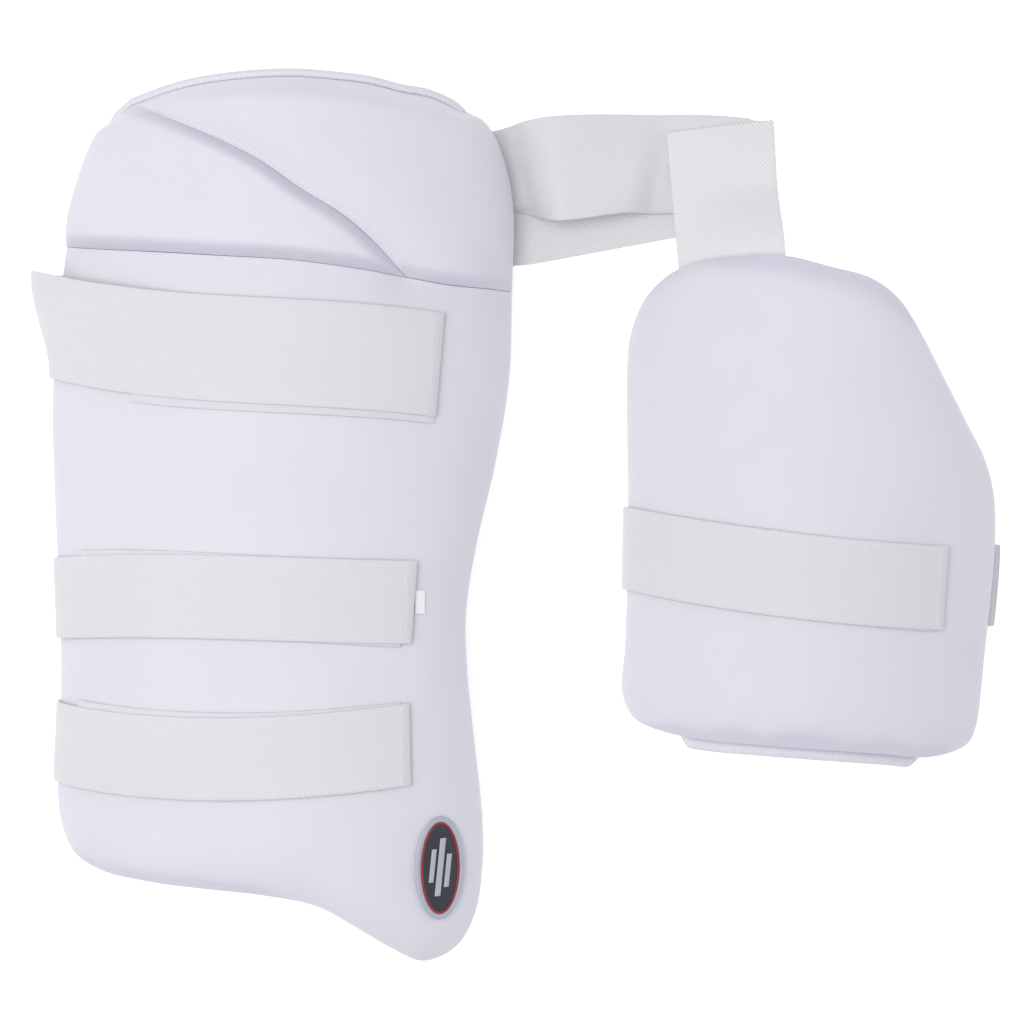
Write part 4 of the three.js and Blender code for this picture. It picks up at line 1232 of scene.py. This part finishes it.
# %% Belt
WIDE = 50.0
SEWN_Y = 160.0
EDGE_LEAN = 0.9
RIDGE_AT_MIDDLE = 0.55
RIDGE_SLOPE = 0.9
BELT_UPPER = [
    # x, y, z
    (-17, 159, 12.3),
    (-5, 159.5, 6.0),
    (4, 161.5, 7.5),
    (12, 163.4, 15.5),
    (21, 164.4, 21),
    (34, 165.3, 20),
    (50, 165.9, 16),
    (68, 166.0, 13.2),
    (90, 166.2, 13),
    (112, 164.6, 13),
]
BELT_TURN = dict(x=119.0, y=163.5, radius=5.0)
BELT_LOWER = [
    # x, y
    (108, 164.4),
    (78, 158.7),
    (40, 151.6),
    (6, 145.2),
]
# Where each bend of the belt starts, is full, fades and stops along X, and how far it shifts an
# edge up in Y and down in Z. All are in millimetres from the middle of the photo.
CURL = dict(left=-10.0, full_at=-2.0, fades_from=0.0, right=24.0, start=-4.0, up=10.5, down=9.0, lowest=1.3)
TILT = dict(left=26.0, full_at=66.0, fades_from=92.0, right=108.0, up=3.8, down=9.0)
RIDGE = dict(left=32.0, full_at=58.0, fades_from=59.0, right=72.0, height=6.5, lean=0.15)
BELT_RISE = dict(start=-6.0, end=-50.0, last=-100.0, y=144.0, last_y=143.0)


def belt_line():
    """The belt's centre line, in the photo's own place: sewn run, bulge, fold and return."""
    half = ELASTIC / 2

    def sewn(x, extra):
        return underside(OUTER, x - OUTER_IN_PHOTO[0]) - GAP - half - extra

    start = [(x, SEWN_Y, sewn(x, 2 * GAP)) for x in (-46, -30)]
    upper = through_points(np.array(start + BELT_UPPER, float), 120)
    top_z = upper[-1, 2]
    angle = np.radians(np.linspace(0, 180, 18))[1:-1]
    turn_x = mix(upper[-1, 0], BELT_TURN["x"] + BELT_TURN["radius"], np.sin(angle))
    turn_z = (top_z + half) / 2 + (top_z - half) / 2 * np.cos(angle)
    turn = np.stack([turn_x, np.full(16, BELT_TURN["y"]), turn_z], axis=1)
    lower = np.array([(x, y, half) for x, y in BELT_LOWER], float)
    x = np.linspace(BELT_RISE["start"], BELT_RISE["last"], 24)
    rise = smooth_step((x - BELT_RISE["start"]) / (BELT_RISE["end"] - BELT_RISE["start"]))
    under = sewn(x, ELASTIC + 5 * GAP)
    share = (x - x[0]) / (x[-1] - x[0])
    rising = np.stack([x, mix(BELT_RISE["y"], BELT_RISE["last_y"], share), mix(half, under, rise)], axis=1)
    return even_steps(np.vstack([upper, turn, lower, rising]), 420)


def window(x, bend):
    """0 outside a bend, 1 where it is full, and an S-shaped rise and fall between."""
    begins = smooth_step((x - bend["left"]) / (bend["full_at"] - bend["left"]))
    return begins * smooth_step((bend["right"] - x) / (bend["right"] - bend["fades_from"]))


def belt_surface():
    """The belt's middle surface: its width leans with the line's slope seen from above, so that the
    edges stay square to it, and the fold itself stays upright. Next to the padding the lower edge
    curls under by the square of its share of the way down. Towards the tab the lower half tilts to
    the floor in the same way, and the belt rises beside it in one soft ridge, which is full at the
    lower edge and slight at the upper one."""
    line = belt_line()
    step_x = np.gradient(line[:, 0])
    slope = np.gradient(line[:, 1]) / np.where(np.abs(step_x) < 0.15, np.inf, step_x)
    kernel = np.hanning(41)
    slope = np.convolve(np.pad(slope, 20, mode="edge"), kernel / kernel.sum(), mode="valid")
    across = (edge_shares(20, WIDE, ELASTIC / 2) - 0.5) * WIDE
    grid = line[:, None] + np.zeros((1, len(across), 3))
    grid[..., 0] -= slope[:, None] * across * EDGE_LEAN
    grid[..., 1] += across
    upper = smooth_step((line[:, None, 2] - 5) / 6) * np.ones_like(across)
    first_run = np.arange(len(line))[:, None] < len(line) // 2
    curl = first_run * window(grid[..., 0], CURL)
    past = np.maximum(0, CURL["start"] - across) / (WIDE / 2 + CURL["start"])
    grid[..., 1] += curl * CURL["up"] * past**2
    curled = np.maximum(CURL["lowest"], grid[..., 2] - CURL["down"] * past**2)
    grid[..., 2] = mix(grid[..., 2], curled, curl)
    below = (np.maximum(0, -across) / (WIDE / 2)) ** 2
    tilt = first_run * window(grid[..., 0], TILT) * below
    grid[..., 1] += TILT["up"] * tilt
    grid[..., 2] -= TILT["down"] * tilt
    ridge = upper * window(grid[..., 0] - RIDGE["lean"] * across, RIDGE)
    grid[..., 2] += RIDGE["height"] * ridge * (RIDGE_AT_MIDDLE - RIDGE_SLOPE * across / WIDE)
    return grid


belt_middle = belt_surface() + [PHOTO_MIDDLE[0], PHOTO_MIDDLE[1], 0]
belt = band("waist_belt_elastic", belt_middle, ELASTIC)

# %% [markdown]
# ## The webbing tab
# Stiff webbing hangs the inner guard on the belt. Its top is turned under and sewn to the belt's
# face, and its foot is sewn under the inner guard's back panel.

# %% Tab
# The upper corners are in millimetres from the middle of the photo, and the foot is in shares of
# the inner guard. The hem is turned under at the top, and the foot goes under by the tuck.
TAB = dict(left=(74.2, 181.6), right=(125.6, 187.6), hem=14.0, tuck=26.0, rise=(0.28, 0.68), belt_top=13.0)
TAB_FOOT = dict(left=(-0.358, 0.474), right=(-0.095, 0.499))
FOLD_RADIUS = 1.1


def tab_surface():
    """The tab's middle surface: hem, fold and face, each column between the fold and the foot."""
    half = WEBBING / 2
    face_z = TAB["belt_top"] + ELASTIC / 2 + GAP + half
    centre = INNER["centre"] - PHOTO_MIDDLE
    columns = []
    for share in edge_shares(26, WIDE, WEBBING / 2):
        top = mix(np.array(TAB["left"]), np.array(TAB["right"]), share)
        local = mix(np.array(TAB_FOOT["left"]), np.array(TAB_FOOT["right"]), share)
        local = local * [INNER["width"], INNER["height"]] - [0, TAB["tuck"]]
        foot = centre + turned(local, INNER["turn"])
        lift = WEBBING + GAP + 0.4
        t = edge_shares(12, TAB["hem"], WEBBING / 2)[:-4]
        down = mix(TAB["hem"], 1.2, t)
        hem_x = mix(top[0], foot[0], down / (top[1] - foot[1]))
        hem = np.stack([hem_x, top[1] - down, np.full(len(t), face_z)], axis=1)
        angle = np.radians(np.linspace(-90, 90, 13))
        fold_y = top[1] - FOLD_RADIUS + FOLD_RADIUS * np.cos(angle)
        fold = np.stack([np.full(13, top[0]), fold_y, face_z + lift / 2 * (1 + np.sin(angle))], axis=1)
        t = np.concatenate([np.linspace(0, 1, 90)[1:-1], [0.996, 0.9985, 1.0]])
        x = mix(top[0], foot[0], t)
        y = mix(top[1] - FOLD_RADIUS, foot[1], t)
        in_inner = turned(np.stack([x, y], axis=1) - centre, -INNER["turn"])
        under = underside(INNER, in_inner[:, 0]) - 2 * GAP - half
        rise = smooth_step((t - TAB["rise"][0]) / (TAB["rise"][1] - TAB["rise"][0]))
        face = np.stack([x, y, mix(face_z + lift, under, rise)], axis=1)
        columns.append(np.vstack([hem, fold, face]))
    return np.stack(columns, axis=1)


tab_middle = tab_surface() + [PHOTO_MIDDLE[0], PHOTO_MIDDLE[1], 0]
tab = band("belt_webbing_tab", tab_middle, WEBBING)

# %% [markdown]
# ## Swelling the covers
# A knit cover is stretched over its foam and swells a little wherever nothing holds it down. So a
# coarse copy of each pad is blown up as cloth with air inside and no gravity. It is held along the
# back, the side and under every strap and badge. The pad then takes on how far the copy moved, cut
# down where the copy moved more than a knit can give, and only clear of seams, straps and badge.

# %% Cloth simulation
PRESSURE = 12.0
CLOTH_FRAMES = 20
SWELLING = 1.6
TRIAL_AROUND = 120
CALM_RINGS = 10
EDGE_HELD = 2.0
EDGE_FREE = 14.0
STRAP_HELD = 5.0
STRAP_FREE = 16.0


def free_share(pad, xy):
    """0 where a strap, the badge or the pad's own edge holds the cover and 1 well away from them."""
    guard = pad["guard"]
    from_edge = distance_to(xy, np.vstack([pad["loop"], pad["loop"][:1]]))
    share = smooth_step((from_edge - EDGE_HELD) / EDGE_FREE)
    for strap in STRAPS.values():
        if strap["guard"] is guard:
            beyond = np.abs(xy[..., 1] - strap_centre(strap, xy[..., 0])) - strap["width"] / 2
            past_end = xy[..., 0] - strap["end_high"] * guard["width"]
            share = share * smooth_step((np.maximum(beyond, past_end) - STRAP_HELD) / STRAP_FREE)
    if guard is OUTER:
        off = xy - np.array(BADGE_AT) * [guard["width"], guard["height"]]
        off = off / [BADGE["width"], BADGE["height"]]
        share = share * smooth_step((np.linalg.norm(off, axis=-1) - 0.6) / 0.4)
    return share


def smoothed(field, axis, width, mode):
    """A running mean with a bell-shaped window along one axis."""
    bell = np.hanning(width + 2)[1:-1]
    half = width // 2
    padded = np.pad(field, [(half, half) if k == axis else (0, 0) for k in range(3)], mode=mode)
    shape = [slice(None)] * 3
    total = 0
    for offset, weight in enumerate(bell / bell.sum()):
        shape[axis] = slice(offset, offset + field.shape[axis])
        total = total + weight * padded[tuple(shape)]
    return total


def swell(item, pad, around):
    """Blow up a coarse copy of the pad as cloth and move the pad as the copy moved. Between the
    copy's points the movement is blended in a straight line and then smoothed. It is multiplied by
    the free share, and by SWELLING over the largest movement where that is more than SWELLING."""
    mesh = item.data
    co = np.empty(len(mesh.vertices) * 3, np.float32)
    mesh.vertices.foreach_get("co", co)
    co = co.reshape(-1, 3).astype(float) / MM
    rings = co[:-2].reshape(-1, around, 3)
    count = len(rings)
    front = len(BACK_SHARES) + len(SIDE_ANGLES)
    rows = np.concatenate([[0, 2, 4, 5, front - 2], np.linspace(front, count - 1, 17).astype(int)])
    columns = np.arange(TRIAL_AROUND) * around // TRIAL_AROUND
    coarse = rings[rows][:, columns]
    trial = ringed_skin(f"{item.name}_trial", co[-2], coarse, co[-1])
    held = trial.vertex_groups.new(name="held")
    free = free_share(pad, to_guard(pad["guard"], coarse))
    grip = (free < 0.02) | (rows[:, None] <= front)
    held.add(np.append(np.flatnonzero(grip), coarse[..., 0].size).tolist(), 1.0, "REPLACE")
    cloth = trial.modifiers.new("cloth", "CLOTH")
    cloth.settings.vertex_group_mass = "held"
    cloth.settings.use_pressure = True
    cloth.settings.uniform_pressure_force = PRESSURE
    cloth.settings.effector_weights.gravity = 0.0
    cloth.settings.bending_stiffness = 2.0
    cloth.collision_settings.use_collision = False
    for frame_number in range(1, CLOTH_FRAMES + 1):
        bpy.context.scene.frame_set(frame_number)
    blown = trial.evaluated_get(bpy.context.evaluated_depsgraph_get()).data
    after = np.empty(len(blown.vertices) * 3, np.float32)
    blown.vertices.foreach_get("co", after)
    moved = (after.reshape(-1, 3)[:-2].reshape(coarse.shape) / MM - coarse).astype(float)
    bpy.data.objects.remove(trial)
    PIECES.pop(f"{item.name}_trial")
    bpy.context.scene.frame_set(1)
    at_row = np.interp(np.arange(count), rows, np.arange(len(rows)))
    low = np.minimum(at_row.astype(int), len(rows) - 2)
    full = mix(moved[low], moved[low + 1], (at_row - low)[:, None, None])
    at_column = np.arange(around) * TRIAL_AROUND / around
    low = at_column.astype(int) % TRIAL_AROUND
    past_low = (at_column - at_column.astype(int))[None, :, None]
    full = mix(full[:, low], full[:, (low + 1) % TRIAL_AROUND], past_low)
    full = smoothed(smoothed(full, 1, 2 * (around // TRIAL_AROUND) + 1, "wrap"), 0, 5, "edge")
    full = full * free_share(pad, to_guard(pad["guard"], rings))[..., None]
    largest = np.linalg.norm(full, axis=2).max()
    full = full * SWELLING / max(largest, SWELLING)
    calm = smooth_step(np.arange(CALM_RINGS) / (CALM_RINGS - 1))[:, None, None]
    full[-CALM_RINGS:] = mix(full[-CALM_RINGS:], full[-CALM_RINGS].mean(axis=0), calm)
    co[:-2] += full.reshape(-1, 3)
    co[-1] += full[-1].mean(axis=0)
    mesh.vertices.foreach_set("co", (co * MM).astype(np.float32).ravel())
    mesh.update()
    print(f"{item.name}: cloth moved {largest:.2f} mm at most")


bpy.context.scene.frame_start = 1
bpy.context.scene.frame_end = CLOTH_FRAMES
swell(thigh, thigh_pad, THIGH_AROUND)
swell(hip_front, front_pad, HIP_AROUND)
swell(hip_rear, rear_pad, HIP_AROUND)
swell(inner, inner_pad, INNER_AROUND)

# %% [markdown]
# ## The stitching
# Lock stitches run beside each crease and round each strap's sewn box. Each stitch is a small
# spindle laid on the cloth, so it catches the light as thread does.


# %% Stitch lines
STITCH_LIFT = 0.1
HEM_STITCH = dict(pitch=2.6, length=2.1, thread=0.6)
STRAP_STITCH = dict(pitch=2.6, length=2.0, thread=0.52)


def on_pad(pad, line):
    """A line of stitches on a pad of the outer guard, given by points in the guard's own place."""
    height, normal = front_of([pad], line)
    return to_frame(OUTER, lifted(line, height) + normal * STITCH_LIFT), normal


def facing_up(guard, line, height):
    """A line of stitches that face straight up, at a height over the guard's underside."""
    points = lifted(line, underside(guard, line[:, 0]) + height)
    return to_frame(guard, points), np.tile([0.0, 0.0, 1.0], (len(line), 1))


def beside(line, distance):
    """A line shifted sideways: to the left of its direction for a positive distance."""
    tangent = unit(np.gradient(line, axis=0))
    return line + np.stack([-tangent[:, 1], tangent[:, 0]], axis=1) * distance


whole_seam = np.vstack([seam_left[:-1], seam_right])
crease_lines = [
    on_pad(thigh_pad, beside(whole_seam, -1.7)[3:-3]),
    on_pad(rear_pad, beside(diagonal_pad, 1.9)[3:-8]),
    facing_up(OUTER, np.vstack([hip_left_pad[-4:-1], dome_pad[:104]]) + [0.0, 0.7], PANEL + 2.0),
]
outer_stitches = stitches("outer_crease_stitches", crease_lines, **HEM_STITCH)

hem_line = inset_loop(inner_panel_loop, 1.9)
hem_line = hem_line[at_hem(hem_line) > 0.6]
hem_stitch_lines = [facing_up(INNER, hem_line, PANEL + 1.2)]
inner_stitches = stitches("inner_hem_stitches", hem_stitch_lines, **HEM_STITCH)


ZIGZAG_TOOTH = 1.5
ZIGZAG_WIDTH = 2.4


def strap_stitch_lines(strap):
    """The sewn box at a strap's end: two long sides, the far side, and a zigzag at the free end."""
    guard = strap["guard"]
    low = strap["box_from"] * guard["width"]
    high = (strap["end_low"] + strap["end_high"]) / 2 * guard["width"] - 2.4
    edge = strap["width"] / 2 - 2.0
    long_x = np.linspace(low, high, 120)
    lines = [np.stack([long_x, strap_centre(strap, long_x) + side * edge], axis=1) for side in (-1, 1)]
    across = np.linspace(-edge, edge, 40)
    lines.append(np.stack([np.full(40, low), strap_centre(strap, low) + across], axis=1))
    count = int(2 * edge / ZIGZAG_TOOTH)
    teeth = np.linspace(-edge, edge, count + 1)
    zigzag = high - ZIGZAG_WIDTH * (np.arange(count + 1) % 2)
    lines.append(np.stack([zigzag, strap_centre(strap, high) + teeth], axis=1))
    clearance = SURFACE_GAP + PATCH + GAP + ELASTIC + 0.08
    out = []
    for line in lines:
        _, normal = front_of(strap["pads"], line)
        out.append((to_frame(guard, over_front(strap["pads"], line, clearance)), normal))
    out[-1] = (*out[-1], count)
    return out


strap_stitches = {
    strap_name: stitches(f"{strap_name}_stitches", strap_stitch_lines(strap), **STRAP_STITCH)
    for strap_name, strap in STRAPS.items()
}

# %% [markdown]
# ## Cloth materials
# Close up, every cloth here is a small repeat: a knit's loops, an elastic's long ribs, a webbing's
# diamonds. One node group makes a repeat of soft cells from any coordinates, with separate counts
# in two directions, and each material feeds it to a bump and a slight change of colour. Coordinates
# are in metres, so a count is a full turn divided by the repeat's own length.


# %% Node groups
def math_node(tree, operation, *values):
    """A sum step in a node tree; each value is a number or another node's output."""
    node = tree.nodes.new("ShaderNodeMath")
    node.operation = operation
    return fed(tree, node, values)


def vector_node(tree, operation, *values):
    """The same for vectors, which is how colours are multiplied here."""
    node = tree.nodes.new("ShaderNodeVectorMath")
    node.operation = operation
    return fed(tree, node, values)


def fed(tree, node, values):
    """Put each value into the node's next input, and give the node's first output."""
    for slot, value in enumerate(values):
        if isinstance(value, bpy.types.NodeSocket):
            tree.links.new(value, node.inputs[slot])
        else:
            node.inputs[slot].default_value = value
    return node.outputs[0]


def new_group(name, inputs, output):
    """An empty node group with a vector, some numbers and one number out; its tree and two ends."""
    group = bpy.data.node_groups.new(name, "ShaderNodeTree")
    group.interface.new_socket(name="Vector", in_out="INPUT", socket_type="NodeSocketVector")
    for key, default in inputs.items():
        socket = group.interface.new_socket(name=key, in_out="INPUT", socket_type="NodeSocketFloat")
        socket.default_value = default
    group.interface.new_socket(name=output, in_out="OUTPUT", socket_type="NodeSocketFloat")
    return group, group.nodes.new("NodeGroupInput").outputs, group.nodes.new("NodeGroupOutput").inputs


def group_node(tree, group, vector, **inputs):
    """One use of a node group on a vector."""
    node = tree.nodes.new("ShaderNodeGroup")
    node.node_tree = group
    tree.links.new(vector, node.inputs["Vector"])
    for key, value in inputs.items():
        node.inputs[key].default_value = value
    return node.outputs[0]


def thread_group():
    """Height of a woven or knitted repeat: a quarter of the sum of two sine ribs, one for each
    direction. Skew leans each rib by a share of the other's count, which makes diamonds."""
    inputs = {"Along": 500.0, "Across": 500.0, "Skew": 0.0, "Weave": 0.5}
    group, given, result = new_group("thread repeat", inputs, "Height")
    split = group.nodes.new("ShaderNodeSeparateXYZ")
    group.links.new(given["Vector"], split.inputs[0])
    u = math_node(group, "MULTIPLY", split.outputs["X"], given["Along"])
    v = math_node(group, "MULTIPLY", split.outputs["Y"], given["Across"])
    ribs = math_node(group, "SINE", math_node(group, "MULTIPLY_ADD", u, given["Skew"], v))
    lean = math_node(group, "MULTIPLY", v, given["Skew"])
    other = math_node(group, "SINE", math_node(group, "SUBTRACT", u, lean))
    total = math_node(group, "MULTIPLY_ADD", other, given["Weave"], ribs)
    group.links.new(math_node(group, "MULTIPLY_ADD", total, 0.25, 0.5), result["Height"])
    return group


def mottle_group():
    """A slow change of tone: noise around nothing times an amount, plus one."""
    group, given, result = new_group("cloth mottle", {"Scale": 30.0, "Amount": 0.04}, "Tone")
    noise = group.nodes.new("ShaderNodeTexNoise")
    noise.inputs["Detail"].default_value = 5.0
    group.links.new(given["Vector"], noise.inputs["Vector"])
    group.links.new(given["Scale"], noise.inputs["Scale"])
    off = math_node(group, "SUBTRACT", noise.outputs["Fac"], 0.5)
    group.links.new(math_node(group, "MULTIPLY_ADD", off, given["Amount"], 1.0), result["Tone"])
    return group


THREAD = thread_group()
MOTTLE = mottle_group()


# %% [markdown]
# Cloth and moulded rubber are the only two kinds of material on the guard. Both are made from the two groups,
# so they differ in counts, colour and gloss, and the cover alone also gets painted shade along its creases
# and sharp rims.


# %% Cloth and rubber
def new_material(name):
    """A material's tree, the inputs of its shader, and the two kinds of place on the piece."""
    material = bpy.data.materials.new(name)
    material.use_nodes = True
    tree = material.node_tree
    where = tree.nodes.new("ShaderNodeTexCoord").outputs
    return material, tree, tree.nodes["Principled BSDF"].inputs, where


def add_relief(tree, shader, height, strength, distance):
    """A bump from a height; strength is a share, and distance is in metres."""
    bump = tree.nodes.new("ShaderNodeBump")
    bump.inputs["Strength"].default_value = strength
    bump.inputs["Distance"].default_value = distance
    tree.links.new(height, bump.inputs["Height"])
    tree.links.new(bump.outputs["Normal"], shader["Normal"])


def scaled_colour(tree, colour, tone):
    """A colour times a tone."""
    tint = tree.nodes.new("ShaderNodeVectorMath")
    tint.operation = "SCALE"
    tint.inputs[0].default_value = colour
    tree.links.new(tone, tint.inputs["Scale"])
    return tint.outputs[0]


CLOTH_SHEEN = 0.25
CLOTH_GLOSS = 0.25
CLOTH_MOTTLE = dict(Scale=28.0, Amount=0.05)
THREAD_RELIEF = 0.0002
RUBBER_GRAIN = dict(Scale=900.0, Amount=0.25)


def cloth_material(name, colour, roughness, along, across, bump, *, weave=0.5, skew=0.0, use_uv=False,
                   tone=0.06, painted_shade_tint=None):
    """A cloth: its thread repeat drives the bump and darkens the colour between the threads. A painted shade
    tint, if there is one, multiplies the colour where the piece's own share of painted shade is 1, which
    darkens creases and sharp rims."""
    material, tree, shader, where = new_material(name)
    shader["Roughness"].default_value = roughness
    shader["Sheen Weight"].default_value = CLOTH_SHEEN
    shader["Sheen Roughness"].default_value = 0.5
    shader["Specular IOR Level"].default_value = CLOTH_GLOSS
    source = where["UV"] if use_uv else where["Object"]
    height = group_node(tree, THREAD, source, Along=along, Across=across, Skew=skew, Weave=weave)
    spots = group_node(tree, MOTTLE, where["Object"], **CLOTH_MOTTLE)
    shade = math_node(tree, "MULTIPLY_ADD", height, tone, 1.0 - tone / 2)
    colour_out = scaled_colour(tree, colour, math_node(tree, "MULTIPLY", shade, spots))
    # Painted shade: the colour is darkened by the given tint along creases and sharp rims.
    if painted_shade_tint:
        stretch = tree.nodes.new("ShaderNodeAttribute")
        stretch.attribute_name = "stretch"
        change = [channel - 1 for channel in painted_shade_tint]
        darker = vector_node(tree, "MULTIPLY_ADD", stretch.outputs["Fac"], change, (1.0, 1.0, 1.0))
        colour_out = vector_node(tree, "MULTIPLY", colour_out, darker)
    tree.links.new(colour_out, shader["Base Color"])
    add_relief(tree, shader, height, bump, THREAD_RELIEF)
    return material


def moulded_material(name, colour, roughness):
    """Moulded rubber: one colour with a fine uneven grain in its gloss and relief."""
    material, tree, shader, where = new_material(name)
    spots = group_node(tree, MOTTLE, where["Object"], **RUBBER_GRAIN)
    tree.links.new(scaled_colour(tree, colour, spots), shader["Base Color"])
    tree.links.new(math_node(tree, "MULTIPLY", spots, roughness), shader["Roughness"])
    add_relief(tree, shader, spots, 0.15, 0.0001)
    return material


COVER_COLOUR = (0.715, 0.715, 0.75)
LINING_COLOUR = (0.715, 0.715, 0.75)
ELASTIC_COLOUR = (0.695, 0.695, 0.698)
WEBBING_COLOUR = (0.765, 0.765, 0.758)
PATCH_COLOUR = (0.70, 0.70, 0.72)
THREAD_COLOUR = (0.82, 0.82, 0.86)
# Painted shade: the cover's colour is multiplied by this bluish grey along its creases and sharply rolled
# rims.
PAINTED_SHADE_TINT = (0.90, 0.90, 0.95)

turns = 2 * math.pi / MM
cover = cloth_material(
    "cover knit", COVER_COLOUR, 0.75, turns / 0.9, turns / 0.7, 0.10, tone=0.02, painted_shade_tint=PAINTED_SHADE_TINT
)
lining = cloth_material(
    "lining mesh", LINING_COLOUR, 0.8, turns / 1.1, turns / 0.9, 0.15, weave=0.8, tone=0.03
)
elastic = cloth_material(
    "ribbed elastic", ELASTIC_COLOUR, 0.8, turns / 0.9, turns / 1.15, 0.45, weave=0.35, use_uv=True, tone=0.07
)
webbing = cloth_material(
    "diamond webbing", WEBBING_COLOUR, 0.7, turns / 1.9, turns / 1.9, 1.0,
    weave=1.0, skew=1.0, use_uv=True, tone=0.30,
)
patch = cloth_material("loop patch", PATCH_COLOUR, 0.95, turns / 0.8, turns / 0.8, 0.6, weave=1.0, tone=0.08)
ribbon = cloth_material("label ribbon", (0.88, 0.88, 0.88), 0.5, turns / 0.4, turns / 0.4, 0.1, use_uv=True)
thread_white = cloth_material("sewing thread", THREAD_COLOUR, 0.6, turns / 0.3, turns / 0.3, 0.2, tone=0.05)
rim_rubber = moulded_material("badge rim rubber", (0.44, 0.46, 0.53), 0.42)
field_rubber = moulded_material("badge field rubber", (0.035, 0.036, 0.045), 0.45)
red_rubber = moulded_material("badge red rubber", (0.42, 0.03, 0.03), 0.45)
bar_rubber = moulded_material("badge bar rubber", (0.45, 0.46, 0.50), 0.42)

# %% [markdown]
# ## Dressing, riding and replacing
# Each piece gets its material, rides on the one rigid body, and stands for its solid.


# %% Dress every piece
def dress(item, material, slot, *nodes):
    """Give a piece its material and name the solids that it stands for; the slot is not used."""
    item.data.materials.clear()
    item.data.materials.append(material)
    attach(item, "root")
    if nodes:
        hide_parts(*nodes)


dress(thigh, cover, "cover", "outer_thigh_pad")
dress(hip_front, cover, "cover", "outer_hip_pad_front")
dress(hip_rear, cover, "cover", "outer_hip_pad_rear")
dress(inner, cover, "cover", "inner_thigh_pad")
dress(outer_panel, lining, "lining", "outer_back_panel")
dress(inner_panel, lining, "lining", "inner_back_panel")
for strap_name in STRAPS:
    dress(strap_items[strap_name], elastic, "elastic", strap_name)
    dress(patch_items[strap_name], patch, "patch", f"{strap_name}_patch")
    dress(strap_stitches[strap_name], thread_white, "elastic")
dress(label, ribbon, "label", "strap_label")
dress(badge_rim, rim_rubber, "badge_rim", "badge_rim")
dress(badge_field, field_rubber, "badge_field", "badge_field")
dress(badge_line, red_rubber, "badge_rim")
for bar in bars:
    dress(bar, bar_rubber, "badge_rim")
dress(belt, elastic, "elastic", "waist_belt")
dress(tab, webbing, "webbing", "belt_tab")
dress(outer_stitches, thread_white, "cover")
dress(inner_stitches, thread_white, "lining")


# %% [markdown]
# ## Finish
# The count of pieces made is printed.

# %% Finish
print("pieces made:", len(PIECES))
